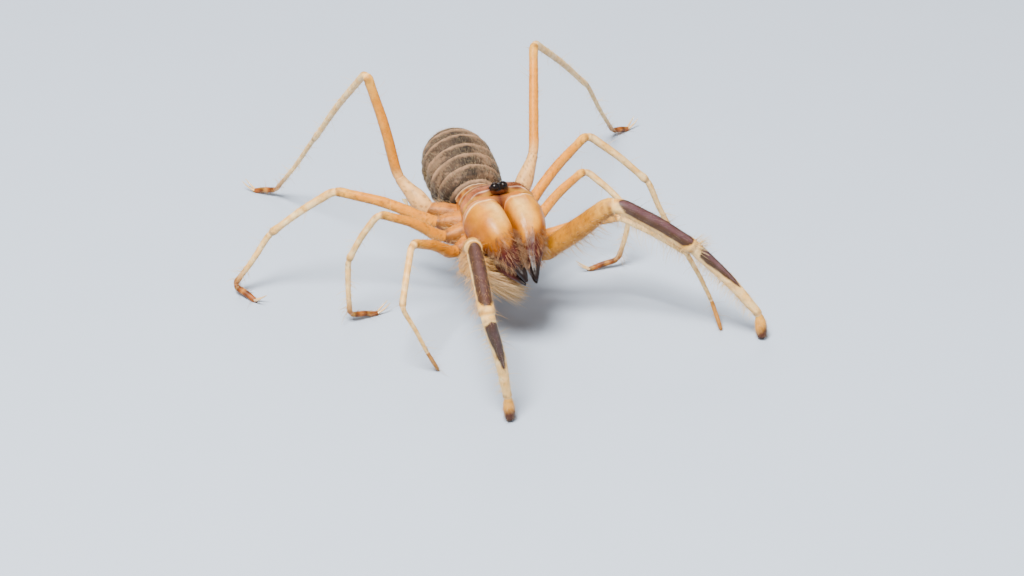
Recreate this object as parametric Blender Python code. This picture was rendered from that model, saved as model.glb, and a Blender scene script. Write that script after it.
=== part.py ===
"""Camel spider, life size, standing with raised palps. Metres, +Z up, head to -Y."""
import math

import bmesh
import bpy
from mathutils import Matrix, Vector

MM = 0.001
GAP = 0.30

# Body shades: name, colour, roughness.
SHADES = {
    "amber_cuticle": ((0.78, 0.46, 0.18), 0.28),
    "straw_cuticle": ((0.80, 0.62, 0.40), 0.45),
    "banded_abdomen": ((0.20, 0.15, 0.11), 0.70),
    "dark_chitin": ((0.05, 0.012, 0.012), 0.22),
    "eye_black": ((0.008, 0.007, 0.010), 0.08),
}

# Segment lengths in mm from the body out. The last leg has a basal piece first.
LENGTHS = {
    "leg4": (6.2, 16.8, 24.2, 18.8, 4.2),
    "leg3": (14.8, 12.6, 10.2, 4.4),
    "leg2": (11.2, 9.5, 8.7, 4.8),
    "leg1": (11.2, 9.9, 8.9, 4.2),
    "palp": (14.4, 13.0, 13.7, 3.7),
}

# Where each limb leaves the body on the animal's left, and its root inside.
HIPS = {
    "leg4": ((6.9, 6.5, 13.6), (2.4, 4.4, 12.8)),
    "leg3": ((6.8, 3.5, 13.2), (2.4, 2.6, 12.8)),
    "leg2": ((6.8, 0.5, 12.4), (2.4, 0.6, 12.6)),
    "leg1": ((6.2, -2.5, 11.5), (2.4, -1.2, 12.2)),
    "palp": ((5.2, -5.6, 10.6), (2.6, -2.4, 11.8)),
}

# Stance: bearing and rise in degrees of each segment. 0 is +X, -90 the front.
STANCE = {
    "right_leg4": ((126, 36), (155, 76), (102, -48), (103, -48), (133, -14)),
    "left_leg4": ((41, 48), (70, 48), (42, -40), (48, -47), (25, -20)),
    "right_leg3": ((157, 19), (149, -40), (159, -61), (-57, -9)),
    "left_leg3": ((30, 24), (-11, -43), (2, -62), (-55, -15)),
    "right_leg2": ((183, 33), (145, -61), (-46, -84), (10, -13)),
    "left_leg2": ((26, 22), (-23, -45), (132, -83), (172, -13)),
    "right_leg1": ((-149, 33), (-120, -40), (-4, -67), (10, -58)),
    "left_leg1": ((-22, 18), (-46, -17), (-7, -64), (-79, -45)),
    "right_palp": ((-106, 44), (-101, -16), (2, -79), (-56, -65)),
    "left_palp": ((-36, 44), (-24, -31), (-25, -48), (-72, -57)),
}
# How much longer than its pair's lengths each limb is in the photo's pose.
STRETCH = {
    "right_leg4": 1.01, "left_leg4": 0.98, "right_leg1": 0.94, "left_leg1": 1.06,
    "right_palp": 0.99, "left_palp": 1.01,
}
# Half thickness of each limb's root inside the body, mm.
ROOT = {"leg4": 1.55, "leg3": 1.85, "leg2": 1.80, "leg1": 1.60, "palp": 1.60}

# Height of the ankle and of the last tarsus centre above the floor, mm.
ANKLE = {"leg4": 1.30, "leg3": 1.30, "leg2": 1.35, "leg1": 3.60, "palp": 3.70}
TOE = {"leg4": 0.12, "leg3": 0.14, "leg2": 0.14, "leg1": 0.06, "palp": 0.06}

# Half thickness in mm of each segment: start, end, belly, knob at the far joint.
THICK = {
    "leg4": ((1.12, 0.74, 0.04, 0.00), (0.76, 0.64, 0.04, 0.05), (0.54, 0.40, 0.02, 0.08),
             (0.38, 0.30, 0.00, 0.07), (0.38, 0.34, 0.06, 0.00)),
    "leg3": ((0.84, 0.60, 0.06, 0.05), (0.60, 0.44, 0.02, 0.14),
             (0.46, 0.36, 0.00, 0.07), (0.42, 0.36, 0.06, 0.00)),
    "leg2": ((0.80, 0.54, 0.04, 0.05), (0.50, 0.40, 0.02, 0.12),
             (0.42, 0.34, 0.00, 0.06), (0.40, 0.36, 0.05, 0.00)),
    "leg1": ((0.84, 0.58, 0.05, 0.04), (0.52, 0.46, 0.02, 0.06),
             (0.38, 0.28, 0.00, 0.00), (0.29, 0.26, 0.04, 0.00)),
    "palp": ((1.24, 1.16, 0.30, 0.06), (1.06, 1.00, 0.10, 0.10),
             (0.96, 0.60, 0.06, 0.00), (0.54, 0.50, 0.26, 0.00)),
}
FILLET = {
    "leg4": (1.5, 1.6, 1.5, 1.2, 0.9),
    "leg3": (1.8, 1.4, 1.2, 0.9),
    "leg2": (1.8, 1.3, 1.1, 1.0),
    "leg1": (1.6, 1.3, 1.0, 0.8),
    "palp": (1.8, 2.1, 2.1, 1.1),
}
# How far the middle of each segment bows away from a straight line, mm up.
BOW = {
    "leg4": (0.0, 0.25, 0.25, -0.20, 0.10),
    "leg3": (0.55, 0.20, -0.15, 0.10),
    "leg2": (0.45, 0.20, -0.15, 0.10),
    "leg1": (0.35, 0.15, 0.10, 0.0),
    "palp": (-0.15, 0.20, 0.25, 0.0),
}
PARTS = ("basifemur", "femur", "tibia", "metatarsus", "tarsus")
PAIRS = ("leg4", "leg3", "leg2", "leg1", "palp")


def heading(bearing, rise):
    """Unit vector from a bearing and a rise in degrees."""
    b = math.radians(bearing)
    e = math.radians(rise)
    return Vector((math.cos(b) * math.cos(e), math.sin(b) * math.cos(e), math.sin(e)))


def knots(table, u):
    """Smooth value at u from a short table of (place, value)."""
    if u <= table[0][0]:
        return table[0][1]
    for (a, va), (b, vb) in zip(table, table[1:]):
        if u <= b:
            t = (u - a) / (b - a)
            t = t * t * (3 - 2 * t)
            return va + (vb - va) * t
    return table[-1][1]


def joints(side, pair):
    """Root, hip, knee, tibia end, ankle and toe of one limb, in mm."""
    sign = 1 if side == "left" else -1
    hip, root = HIPS[pair]
    points = [Vector((sign * root[0], root[1], root[2])), Vector((sign * hip[0], hip[1], hip[2]))]
    limb = side + "_" + pair
    scale = STRETCH.get(limb, 1.0)
    last = len(LENGTHS[pair]) - 1
    for index, (bearing, rise) in enumerate(STANCE[limb]):
        length = LENGTHS[pair][index] * scale
        step = heading(bearing, rise) * length
        start = points[-1]
        if index >= last - 1:
            level = TOE[pair] if index == last else ANKLE[pair]
            drop = level - start.z
            flat = math.sqrt(max(length * length - drop * drop, 0.0))
            plan = Vector((step.x, step.y, 0)).normalized() * flat
            step = Vector((plan.x, plan.y, drop))
        points.append(start + step)
    return points


def rounded(points, radii, bows):
    """Dense centre line with round corners, and the length at each mid corner."""
    line = [points[0].copy()]
    marks = []
    for i in range(1, len(points) - 1):
        before = (points[i] - points[i - 1]).normalized()
        after = (points[i + 1] - points[i]).normalized()
        bend = before.angle(after)
        reach = radii[i - 1]
        start = points[i] - before * reach
        if bend < 0.02:
            arc = [start, points[i].copy(), points[i] + after * reach]
        else:
            radius = reach / math.tan(bend / 2)
            side = (after - before * after.dot(before)).normalized()
            arc = []
            for k in range(13):
                a = bend * k / 12
                arc.append(start + before * (radius * math.sin(a)) + side * (radius * (1 - math.cos(a))))
        straight = line[-1]
        line += [straight.lerp(arc[0], k / 12) for k in range(1, 12)]
        line += arc
        marks.append(len(line) - 1 - len(arc) // 2)
    straight = line[-1]
    line += [straight.lerp(points[-1], k / 12) for k in range(1, 13)]
    run = lengths(line)
    bounds = marks + [len(line) - 1]
    for first, last, bow in zip(bounds, bounds[1:], bows):
        along = (line[last] - line[first]).normalized()
        rise = (Vector((0, 0, 1)) - along * along.z).normalized()
        for i in range(first, last + 1):
            u = (run[i] - run[first]) / (run[last] - run[first])
            line[i] = line[i] + rise * (bow * math.sin(math.pi * u) ** 2)
    run = lengths(line)
    return line, run, [run[m] for m in marks]


def lengths(line):
    """Length along a centre line at each of its points."""
    run = [0.0]
    for a, b in zip(line, line[1:]):
        run.append(run[-1] + (b - a).length)
    return run


def frames(line, first_up):
    """Tangent and up vector at each point, carried along without twist."""
    tangents = []
    for i in range(len(line)):
        a = line[max(i - 1, 0)]
        b = line[min(i + 1, len(line) - 1)]
        tangents.append((b - a).normalized())
    up = (first_up - tangents[0] * first_up.dot(tangents[0])).normalized()
    ups = [up]
    for a, b in zip(tangents, tangents[1:]):
        up = a.rotation_difference(b) @ up
        up = (up - b * up.dot(b)).normalized()
        ups.append(up)
    return tangents, ups


def at(line, run, tangents, ups, s):
    """Point, tangent and up at the length s of a centre line."""
    for i in range(1, len(run)):
        if s <= run[i] or i == len(run) - 1:
            t = (s - run[i - 1]) / max(run[i] - run[i - 1], 1e-9)
            point = line[i - 1].lerp(line[i], t)
            tangent = tangents[i - 1].lerp(tangents[i], t).normalized()
            up = ups[i - 1].lerp(ups[i], t)
            up = (up - tangent * up.dot(tangent)).normalized()
            return point, tangent, up


def mesh_object(name, verts, faces, shade):
    """Object in metres from points in mm."""
    mesh = bpy.data.meshes.new(name)
    mesh.from_pydata([v * MM for v in verts], [], faces)
    obj = bpy.data.objects.new(name, mesh)
    bpy.context.collection.objects.link(obj)
    mesh.materials.append(MATERIALS[shade])
    tidy_mesh(obj)
    return obj


def tidy_mesh(obj):
    """Outward normals and smooth shading with crisp ends."""
    bm = bmesh.new()
    bm.from_mesh(obj.data)
    bmesh.ops.remove_doubles(bm, verts=bm.verts, dist=2e-6)
    bmesh.ops.recalc_face_normals(bm, faces=bm.faces)
    if bm.calc_volume(signed=True) < 0:
        bmesh.ops.reverse_faces(bm, faces=bm.faces)
    bm.to_mesh(obj.data)
    bm.free()
    obj.data.polygons.foreach_set("use_smooth", [True] * len(obj.data.polygons))
    obj.data.set_sharp_from_angle(angle=math.radians(42))


def tube(name, stations, sides, shade):
    """Closed body through rings of (centre, tangent, up, half width, half height)."""
    verts = []
    faces = []
    for centre, tangent, up, wide, high in stations:
        right = tangent.cross(up).normalized()
        for k in range(sides):
            a = 2 * math.pi * k / sides
            verts.append(centre + right * (wide * math.cos(a)) + up * (high * math.sin(a)))
    for r in range(len(stations) - 1):
        for k in range(sides):
            n = (k + 1) % sides
            faces.append((r * sides + k, r * sides + n, (r + 1) * sides + n, (r + 1) * sides + k))
    faces.append(tuple(range(sides)))
    last = (len(stations) - 1) * sides
    faces.append(tuple(last + k for k in range(sides)))
    return mesh_object(name, verts, faces, shade)


def spike(name, start, direction, curl, length, wide, tip, shade, rings=5, sides=6):
    """Tapered curved rod, used for claws, teeth and locks."""
    line = []
    heading_now = direction.normalized()
    point = start.copy()
    for i in range(rings + 1):
        line.append(point.copy())
        point = point + heading_now * (length / rings)
        heading_now = (heading_now + curl / rings).normalized()
    upright = abs(direction.normalized().z) >= 0.9
    tangents, ups = frames(line, Vector((1, 0, 0)) if upright else Vector((0.1, 0.2, 1)))
    stations = []
    for i, p in enumerate(line):
        r = wide + (tip - wide) * i / rings
        stations.append((p, tangents[i], ups[i], r, r))
    return tube(name, stations, sides, shade)


def ball(name, centre, radii, shade, sides=14, rings=9):
    """Ellipsoid with poles on Z."""
    verts = [centre + Vector((0, 0, -radii[2]))]
    faces = []
    for r in range(1, rings):
        lat = -math.pi / 2 + math.pi * r / rings
        for k in range(sides):
            a = 2 * math.pi * k / sides
            verts.append(centre + Vector((radii[0] * math.cos(lat) * math.cos(a),
                                          radii[1] * math.cos(lat) * math.sin(a),
                                          radii[2] * math.sin(lat))))
    verts.append(centre + Vector((0, 0, radii[2])))
    top = len(verts) - 1
    for k in range(sides):
        n = (k + 1) % sides
        faces.append((0, 1 + n, 1 + k))
        for r in range(rings - 2):
            a = 1 + r * sides
            faces.append((a + k, a + n, a + sides + n, a + sides + k))
        a = 1 + (rings - 2) * sides
        faces.append((a + k, a + n, top))
    return mesh_object(name, verts, faces, shade)


def keep_largest(bm):
    """Drop every loose shell but the largest one."""
    left = set(bm.verts)
    best = []
    while left:
        seed = left.pop()
        shell = {seed}
        queue = [seed]
        while queue:
            v = queue.pop()
            for e in v.link_edges:
                w = e.other_vert(v)
                if w not in shell:
                    shell.add(w)
                    queue.append(w)
        left -= shell
        if len(shell) > len(best):
            best = list(shell)
    keep = set(best)
    bmesh.ops.delete(bm, geom=[v for v in bm.verts if v not in keep], context="VERTS")


def fuse(obj, pieces):
    """One union of a collection of pieces into a node."""
    group = bpy.data.collections.new(obj.name + "_pieces")
    bpy.context.scene.collection.children.link(group)
    for piece in pieces:
        bpy.context.collection.objects.unlink(piece)
        group.objects.link(piece)
        piece.hide_render = True
        piece.display_type = "WIRE"
    modifier = obj.modifiers.new("join", "BOOLEAN")
    modifier.operation = "UNION"
    modifier.operand_type = "COLLECTION"
    modifier.collection = group
    modifier.solver = "EXACT"
    modifier.use_self = True
    bpy.context.view_layer.update()
    graph = bpy.context.evaluated_depsgraph_get()
    mesh = bpy.data.meshes.new_from_object(obj.evaluated_get(graph))
    obj.modifiers.clear()
    old = obj.data
    obj.data = mesh
    bpy.data.meshes.remove(old)
    for piece in pieces:
        data = piece.data
        bpy.data.objects.remove(piece)
        bpy.data.meshes.remove(data)
    bpy.data.collections.remove(group)
    bm = bmesh.new()
    bm.from_mesh(mesh)
    bmesh.ops.remove_doubles(bm, verts=bm.verts, dist=1.5e-5)
    bmesh.ops.dissolve_degenerate(bm, edges=bm.edges, dist=1e-5)
    keep_largest(bm)
    bm.to_mesh(mesh)
    bm.free()
    tidy_mesh(obj)


def stand_flat(obj):
    """Cut the underside level with the floor so the foot has a small flat."""
    bm = bmesh.new()
    bm.from_mesh(obj.data)
    bmesh.ops.bisect_plane(bm, geom=bm.verts[:] + bm.edges[:] + bm.faces[:], dist=1e-7,
                           plane_co=(0, 0, 0), plane_no=(0, 0, 1), clear_inner=True)
    rim = [e for e in bm.edges if e.is_boundary]
    bmesh.ops.holes_fill(bm, edges=rim, sides=0)
    bm.to_mesh(obj.data)
    bm.free()
    tidy_mesh(obj)


def limb_line(side, pair):
    points = joints(side, pair)
    line, run, marks = rounded(points, FILLET[pair], BOW[pair])
    first_up = Vector((0, 0, 1))
    tangents, ups = frames(line, first_up)
    return points, line, run, marks, tangents, ups


def segment_radius(spec, u, length):
    """Half thickness at u along a segment: taper, belly and a knob before the joint."""
    start, end, belly, knob = spec
    r = start + (end - start) * u + belly * math.sin(math.pi * u)
    r += knob * math.exp(-((u - 0.95) * length / 0.9) ** 2)
    return r


def segment_stations(pair, index, path, s0, s1, count):
    line, run, tangents, ups = path
    stations = []
    for k in range(count):
        t = k / (count - 1)
        t = t - 0.10 * math.sin(2 * math.pi * t)
        s = s0 + (s1 - s0) * t
        point, tangent, up = at(line, run, tangents, ups, s)
        r = segment_radius(THICK[pair][index], t, s1 - s0)
        if k in (0, count - 1):
            r *= 0.93
        flat = 0.90 if pair != "palp" else 0.96
        stations.append((point, tangent, up, r * flat, r))
    return stations


def limb(side, pair):
    """The segment nodes of one limb."""
    points, line, run, marks, tangents, ups = limb_line(side, pair)
    path = (line, run, tangents, ups)
    ends = marks + [run[-1]]
    sides = 10 if pair == "palp" else 8
    made = []
    last = len(LENGTHS[pair]) - 1
    for index in range(last + 1):
        part = PARTS[index + 4 - last]
        s0 = ends[index] + GAP / 2
        s1 = ends[index + 1] - (GAP / 2 if index < last else 0)
        count = 9 if index < last else 7
        if part == "basifemur":
            count = 6
        stations = segment_stations(pair, index, path, s0, s1, count)
        if index == last:
            centre, tangent, up, wide, high = stations[-1]
            stations[-1] = (centre, tangent, up, wide * 0.62, high * 0.62)
        if index == 0 and pair != "leg4":
            stations = trochanter(stations)
        name = side + "_" + pair + "_" + part
        shade = "amber_cuticle" if "femur" in part else "straw_cuticle"
        obj = tube(name, stations, sides, shade)
        made.append(obj)
    tarsus = made[-1]
    if pair in ("leg4", "leg3", "leg2"):
        fuse(tarsus, claws(points, pair))
    stand_flat(tarsus)
    if pair == "leg4":
        fuse(made[0], racquets(path, ends[0], 3))
    if side == "right" and pair == "palp":
        fuse(made[0], brush())
    return made


def trochanter(stations):
    """Thicken the first fifth of a femur into the short trochanter."""
    out = []
    for k, (centre, tangent, up, wide, high) in enumerate(stations):
        swell = (1.0, 1.10, 1.10, 1.0)[k] if k < 4 else 1.0
        out.append((centre, tangent, up, wide * swell, high * swell))
    return out


def claws(points, pair):
    """Two long curved claws at a foot, raised off the floor."""
    toe = points[-1]
    ahead = (points[-1] - points[-2]).normalized()
    level = Vector((ahead.x, ahead.y, 0)).normalized()
    across = Vector((-level.y, level.x, 0))
    out = []
    for hand in (-1, 1):
        start = toe - level * 0.35 + across * (0.12 * hand) + Vector((0, 0, 0.20))
        way = level + across * (0.34 * hand) + Vector((0, 0, 0.42))
        curl = Vector((0, 0, 0.35)) - across * (0.25 * hand)
        out.append(spike("claw", start, way, curl, 2.1, 0.25, 0.10, "straw_cuticle"))
    return out


# Distance between the fan stalks along the last leg, mm.
RACQUET_STEP = 1.25


def racquets(path, s0, count):
    """Short fan stalks under the base of the last leg."""
    line, run, tangents, ups = path
    out = []
    for i in range(count):
        point, tangent, up = at(line, run, tangents, ups, s0 + 0.9 + RACQUET_STEP * i)
        down = up * -1
        start = point + down * 0.5
        out.append(spike("racquet", start, down + tangent * 0.35, Vector(), 1.9, 0.22, 0.42,
                         "straw_cuticle", rings=3, sides=8))
    return out


def brush():
    """Locks of long bristles under the base of the right palp."""
    out = []
    for i in range(4):
        start = Vector((-5.3 - 0.1 * i, -7.2 - 0.6 * i, 10.8 + 0.4 * i))
        way = Vector((0.95, -0.40 - 0.05 * i, -0.56 + 0.06 * i))
        out.append(spike("lock", start, way, Vector((0.1, 0, 0)), 8.0 - 0.4 * i, 0.60, 0.20,
                         "straw_cuticle", rings=4, sides=7))
    return out


def top_plane(y):
    """Height of the seam between back shields and coxae."""
    return 16.6 - (y + 3.6) * 0.20


BODY = {
    "middle": ((-3.6, 15.2), (-2.2, 15.0), (0.0, 14.6), (2.5, 14.1), (6.1, 13.6)),
    "wide": ((-3.6, 4.85), (-2.4, 4.80), (-1.2, 4.50), (0.0, 4.05), (2.5, 3.65), (6.1, 3.4)),
    "high": ((-3.6, 5.40), (-2.4, 5.95), (-1.2, 5.70), (0.0, 4.90), (2.5, 3.95), (6.1, 3.3)),
    "deep": ((-3.6, 4.85), (-2.2, 4.8), (0.0, 4.5), (2.5, 4.0), (6.1, 3.3)),
    "square": ((-3.6, 4.6), (-2.4, 4.6), (-1.2, 3.6), (0.0, 2.5), (2.5, 2.1), (6.1, 2.0)),
}


def section(y, scale, upper, count):
    """Half of a body ring: the part above or below the seam, with a flat seam side.

    The lower part is an ellipse. The upper part grows squarer towards the head.
    """
    middle = knots(BODY["middle"], y)
    wide = knots(BODY["wide"], y) * scale
    high = knots(BODY["high" if upper else "deep"], y) * scale
    power = 2 / knots(BODY["square"], y) if upper else 1.0
    seam = top_plane(y) + (GAP / 2 if upper else -GAP / 2)
    ratio = max(-0.98, min(0.98, (seam - middle) / high))
    a = math.copysign(math.asin(abs(ratio) ** (1 / power)), ratio)
    lo, hi = (a, math.pi - a) if upper else (math.pi - a, 2 * math.pi + a)
    ring = []
    for k in range(count):
        b = lo + (hi - lo) * k / (count - 1)
        c = math.copysign(abs(math.cos(b)) ** power, math.cos(b))
        n = math.copysign(abs(math.sin(b)) ** power, math.sin(b))
        ring.append(Vector((wide * c, y, middle + high * n)))
    return ring


def loft(name, rings, shade):
    """Closed body through rings of equal count."""
    count = len(rings[0])
    verts = [v for ring in rings for v in ring]
    faces = []
    for r in range(len(rings) - 1):
        for k in range(count):
            n = (k + 1) % count
            faces.append((r * count + k, r * count + n, (r + 1) * count + n, (r + 1) * count + k))
    faces.append(tuple(range(count)))
    last = (len(rings) - 1) * count
    faces.append(tuple(last + k for k in range(count)))
    return mesh_object(name, verts, faces, shade)


def shields():
    """Head shield with its eye mound, and two narrow plates behind it."""
    plates = (
        ("head_shield", -3.6, 1.9, 8, ((-3.6, 0.985), (-3.2, 1.0), (0.6, 1.0), (1.9, 0.97))),
        ("second_shield", 2.2, 3.9, 5, ((2.2, 0.94), (3.0, 0.99), (3.9, 0.95))),
        ("third_shield", 4.2, 6.0, 5, ((4.2, 0.94), (5.0, 0.99), (6.0, 0.95))),
    )
    for name, front, back, rows, swell in plates:
        rings = []
        for r in range(rows):
            y = front + (back - front) * r / (rows - 1)
            rings.append(section(y, knots(swell, y), True, 15))
        plate = loft(name, rings, "amber_cuticle")
        if name == "head_shield":
            mound = ball("mound", Vector((0, -3.05, 20.20)), (1.10, 0.45, 0.50), "amber_cuticle")
            lobes = [ball("lobe", Vector((x * 4.60, -2.8, 18.4)), (0.70, 0.80, 0.95), "amber_cuticle")
                     for x in (-1, 1)]
            fuse(plate, [mound] + lobes)
    for side, x in (("left", 1), ("right", -1)):
        ball(side + "_eye", Vector((0.62 * x, -3.55, 21.50)), (0.60, 0.60, 0.60), "eye_black",
             sides=12, rings=8)


def coxae():
    """Underside of the forebody with the ten limb stubs and the beak."""
    rings = []
    for r in range(9):
        y = -3.6 + 9.7 * r / 8
        rings.append(section(y, 1.0, False, 21))
    core = loft("coxae", rings, "straw_cuticle")
    stubs = []
    for side in ("left", "right"):
        for pair in PAIRS:
            points, line, run, marks, tangents, ups = limb_line(side, pair)
            s1 = marks[0] - GAP / 2
            stations = []
            r1 = THICK[pair][0][0]
            for k in range(6):
                t = k / 5
                point, tangent, up = at(line, run, tangents, ups, s1 * t)
                r = ROOT[pair] + (r1 - ROOT[pair]) * t + 0.20 * math.sin(math.pi * t)
                stations.append((point, tangent, up, r * 0.92, r))
            stubs.append(tube("stub", stations, 10, "straw_cuticle"))
            if pair == "leg4":
                stubs += racquets((line, run, tangents, ups), 0.4, 2)
    beak = spike("beak", Vector((0, -3.0, 12.6)), Vector((0, -1, -0.05)), Vector(), 4.6, 1.1, 0.4,
                 "straw_cuticle", rings=4, sides=10)
    fuse(core, stubs + [beak])


# Jaw stations on the left: y, z, x, half width, half height.
JAW = (
    (-3.95, 17.00, 2.85, 2.58, 2.95),
    (-5.00, 17.10, 2.88, 2.62, 3.25),
    (-6.60, 17.00, 2.78, 2.58, 3.28),
    (-8.20, 16.60, 2.55, 2.34, 3.00),
    (-9.70, 16.00, 2.18, 1.98, 2.42),
    (-10.9, 15.50, 1.90, 1.64, 1.80),
    (-12.0, 14.90, 1.56, 1.24, 1.18),
    (-13.2, 14.15, 1.18, 0.82, 0.72),
    (-14.2, 13.45, 0.90, 0.56, 0.50),
    (-15.0, 12.75, 0.74, 0.20, 0.20),
)
LOWER = (
    (-9.60, 12.70, 2.10, 0.85, 0.62),
    (-10.5, 12.68, 1.95, 0.95, 0.76),
    (-11.6, 12.48, 1.65, 0.72, 0.60),
    (-12.8, 12.36, 1.32, 0.52, 0.46),
    (-13.9, 12.30, 1.02, 0.38, 0.34),
    (-14.8, 12.22, 0.82, 0.15, 0.15),
)


# The faces of the jaws that look at each other are flatter: under 1 is squarer.
MEDIAL = 0.48


def sway(y):
    """How far the jaws lean to the animal's left at a place along them."""
    return 0.06 * (-6.0 - y)


def swept(name, table, x_sign, shade, sides, steps):
    """Body through a table of stations, smoothed between them."""
    rows = []
    for i in range(len(table) - 1):
        for k in range(steps):
            rows.append(i + k / steps)
    rows.append(len(table) - 1)
    line = []
    sizes = []
    for u in rows:
        i = min(int(u), len(table) - 2)
        t = u - i
        p0 = table[max(i - 1, 0)]
        p1 = table[i]
        p2 = table[i + 1]
        p3 = table[min(i + 2, len(table) - 1)]
        value = []
        for a, b, c, d in zip(p0, p1, p2, p3):
            value.append(0.5 * (2 * b + (c - a) * t + (2 * a - 5 * b + 4 * c - d) * t * t
                                + (3 * b - a - 3 * c + d) * t ** 3))
        line.append(Vector((value[2] * x_sign + sway(value[0]), value[0], value[1])))
        sizes.append((value[3], value[4]))
    tangents, ups = frames(line, Vector((0, 0, 1)))
    tangents[0] = Vector((0, -1, 0))
    ups[0] = Vector((0, 0, 1))
    rings = []
    for place, tangent, up, (wide, high) in zip(line, tangents, ups, sizes):
        right = tangent.cross(up)
        ring = []
        for k in range(sides):
            a = 2 * math.pi * k / sides
            c = math.cos(a)
            n = math.sin(a)
            power = MEDIAL if right.x * c * x_sign < 0 else 1.0
            across = math.copysign(abs(c) ** power, c) * wide
            upward = math.copysign(abs(n) ** power, n) * high
            ring.append(place + right * across + up * upward)
        rings.append(ring)
    return loft(name, rings, shade)


def jaws():
    """Two big jaws, each with a fixed finger above and a hinged one below."""
    for side, x in (("left", 1), ("right", -1)):
        upper = swept(side + "_chelicera", JAW, x, "amber_cuticle", 16, 2)
        teeth = []
        for i, (y, z, size) in enumerate(((-11.3, 14.60, 0.62), (-12.2, 14.35, 0.70),
                                          (-13.0, 13.90, 0.55), (-13.8, 13.40, 0.42))):
            place = x * (1.72 - 0.28 * i) + sway(y)
            teeth.append(spike("tooth", Vector((place, y, z)), Vector((0, -0.15, -1)), Vector(),
                               size, 0.28, 0.12, "dark_chitin", rings=2, sides=7))
        fuse(upper, teeth)
        lower = swept(side + "_jaw_finger", LOWER, x, "dark_chitin", 12, 2)
        teeth = []
        for i, (y, z, size) in enumerate(((-11.75, 12.80, 0.62), (-12.65, 12.60, 0.55),
                                          (-13.4, 12.45, 0.42))):
            place = x * (1.62 - 0.26 * i) + sway(y)
            teeth.append(spike("tooth", Vector((place, y, z)), Vector((0, -0.1, 1)), Vector(),
                               size, 0.26, 0.12, "dark_chitin", rings=2, sides=7))
        fuse(lower, teeth)


# Abdomen outline: place along it, half width and half height in mm.
ABDOMEN_WIDE = ((0.0, 3.4), (0.09, 4.45), (0.35, 5.1), (0.60, 5.1), (0.80, 4.5), (0.93, 3.1), (1.0, 1.1))
ABDOMEN_HIGH = ((0.0, 3.2), (0.10, 4.1), (0.35, 4.4), (0.60, 4.4), (0.80, 3.85), (0.93, 2.7), (1.0, 0.9))
ABDOMEN_SPAN = (6.4, 23.3)
ABDOMEN_RISE = (13.3, 14.5)
ABDOMEN_SWAY = (0.1, 1.7)
# Where each ring of the abdomen ends, as a share of its length.
BAND_ENDS = (0.0, 0.05, 0.20, 0.355, 0.51, 0.665, 0.80, 0.895, 0.95, 0.98, 1.0)


def abdomen():
    """Soft banded hind body of ten rings."""
    rings = []
    per = 4
    count = 24
    last = len(BAND_ENDS) - 2
    for b in range(last + 1):
        for k in range(per + 1 if b == last else per):
            u = k / per
            t = BAND_ENDS[b] + (BAND_ENDS[b + 1] - BAND_ENDS[b]) * u
            bulge = 0.97 + 0.075 * math.sin(math.pi * min(u * 0.9 + 0.08, 1.0)) ** 0.7
            y = ABDOMEN_SPAN[0] + (ABDOMEN_SPAN[1] - ABDOMEN_SPAN[0]) * t
            z = ABDOMEN_RISE[0] + (ABDOMEN_RISE[1] - ABDOMEN_RISE[0]) * t
            x = ABDOMEN_SWAY[0] + (ABDOMEN_SWAY[1] - ABDOMEN_SWAY[0]) * t
            wide = knots(ABDOMEN_WIDE, t) * bulge
            high = knots(ABDOMEN_HIGH, t) * bulge
            ring = []
            for i in range(count):
                a = 2 * math.pi * i / count
                ring.append(Vector((x + wide * math.cos(a), y, z + high * math.sin(a))))
            rings.append(ring)
    loft("abdomen", rings, "banded_abdomen")


def place_on_origin():
    """Bottom centre of everything to the origin."""
    low = Vector((1e9, 1e9, 1e9))
    high = Vector((-1e9, -1e9, -1e9))
    nodes = [o for o in bpy.data.objects if o.type == "MESH"]
    for obj in nodes:
        for v in obj.data.vertices:
            for i in range(3):
                low[i] = min(low[i], v.co[i])
                high[i] = max(high[i], v.co[i])
    shift = Matrix.Translation((-(low.x + high.x) / 2, -(low.y + high.y) / 2, -low.z))
    for obj in nodes:
        obj.data.transform(shift)


def make_materials():
    out = {}
    for name, (rgb, rough) in SHADES.items():
        mat = bpy.data.materials.new(name)
        mat.use_nodes = True
        shader = mat.node_tree.nodes["Principled BSDF"]
        shader.inputs["Base Color"].default_value = (rgb[0], rgb[1], rgb[2], 1)
        shader.inputs["Roughness"].default_value = rough
        out[name] = mat
    return out


for old in list(bpy.data.objects):
    bpy.data.objects.remove(old)
MATERIALS = make_materials()

abdomen()
shields()
coxae()
jaws()
for one_side in ("left", "right"):
    for one_pair in PAIRS:
        limb(one_side, one_pair)
place_on_origin()
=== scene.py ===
"""Camel spider, life size: skin, plates, jaws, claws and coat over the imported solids."""
import math
import bmesh
import bpy
import numpy as np
from mathutils import Matrix, Vector, kdtree


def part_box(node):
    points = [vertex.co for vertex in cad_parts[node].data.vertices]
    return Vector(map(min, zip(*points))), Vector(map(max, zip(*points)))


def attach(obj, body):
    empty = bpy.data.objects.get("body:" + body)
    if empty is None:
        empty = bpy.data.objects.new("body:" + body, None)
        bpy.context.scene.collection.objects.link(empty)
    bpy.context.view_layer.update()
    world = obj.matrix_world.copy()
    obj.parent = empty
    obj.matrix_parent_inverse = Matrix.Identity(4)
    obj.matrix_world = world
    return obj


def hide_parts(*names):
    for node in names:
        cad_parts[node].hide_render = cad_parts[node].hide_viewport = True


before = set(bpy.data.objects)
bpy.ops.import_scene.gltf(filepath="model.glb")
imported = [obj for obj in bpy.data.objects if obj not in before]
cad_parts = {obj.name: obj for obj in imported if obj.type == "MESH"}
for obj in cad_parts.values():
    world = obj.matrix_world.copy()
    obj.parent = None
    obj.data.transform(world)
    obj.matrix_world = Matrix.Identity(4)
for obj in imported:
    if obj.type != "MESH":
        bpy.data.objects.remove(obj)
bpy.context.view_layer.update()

MM = 0.001
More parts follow.
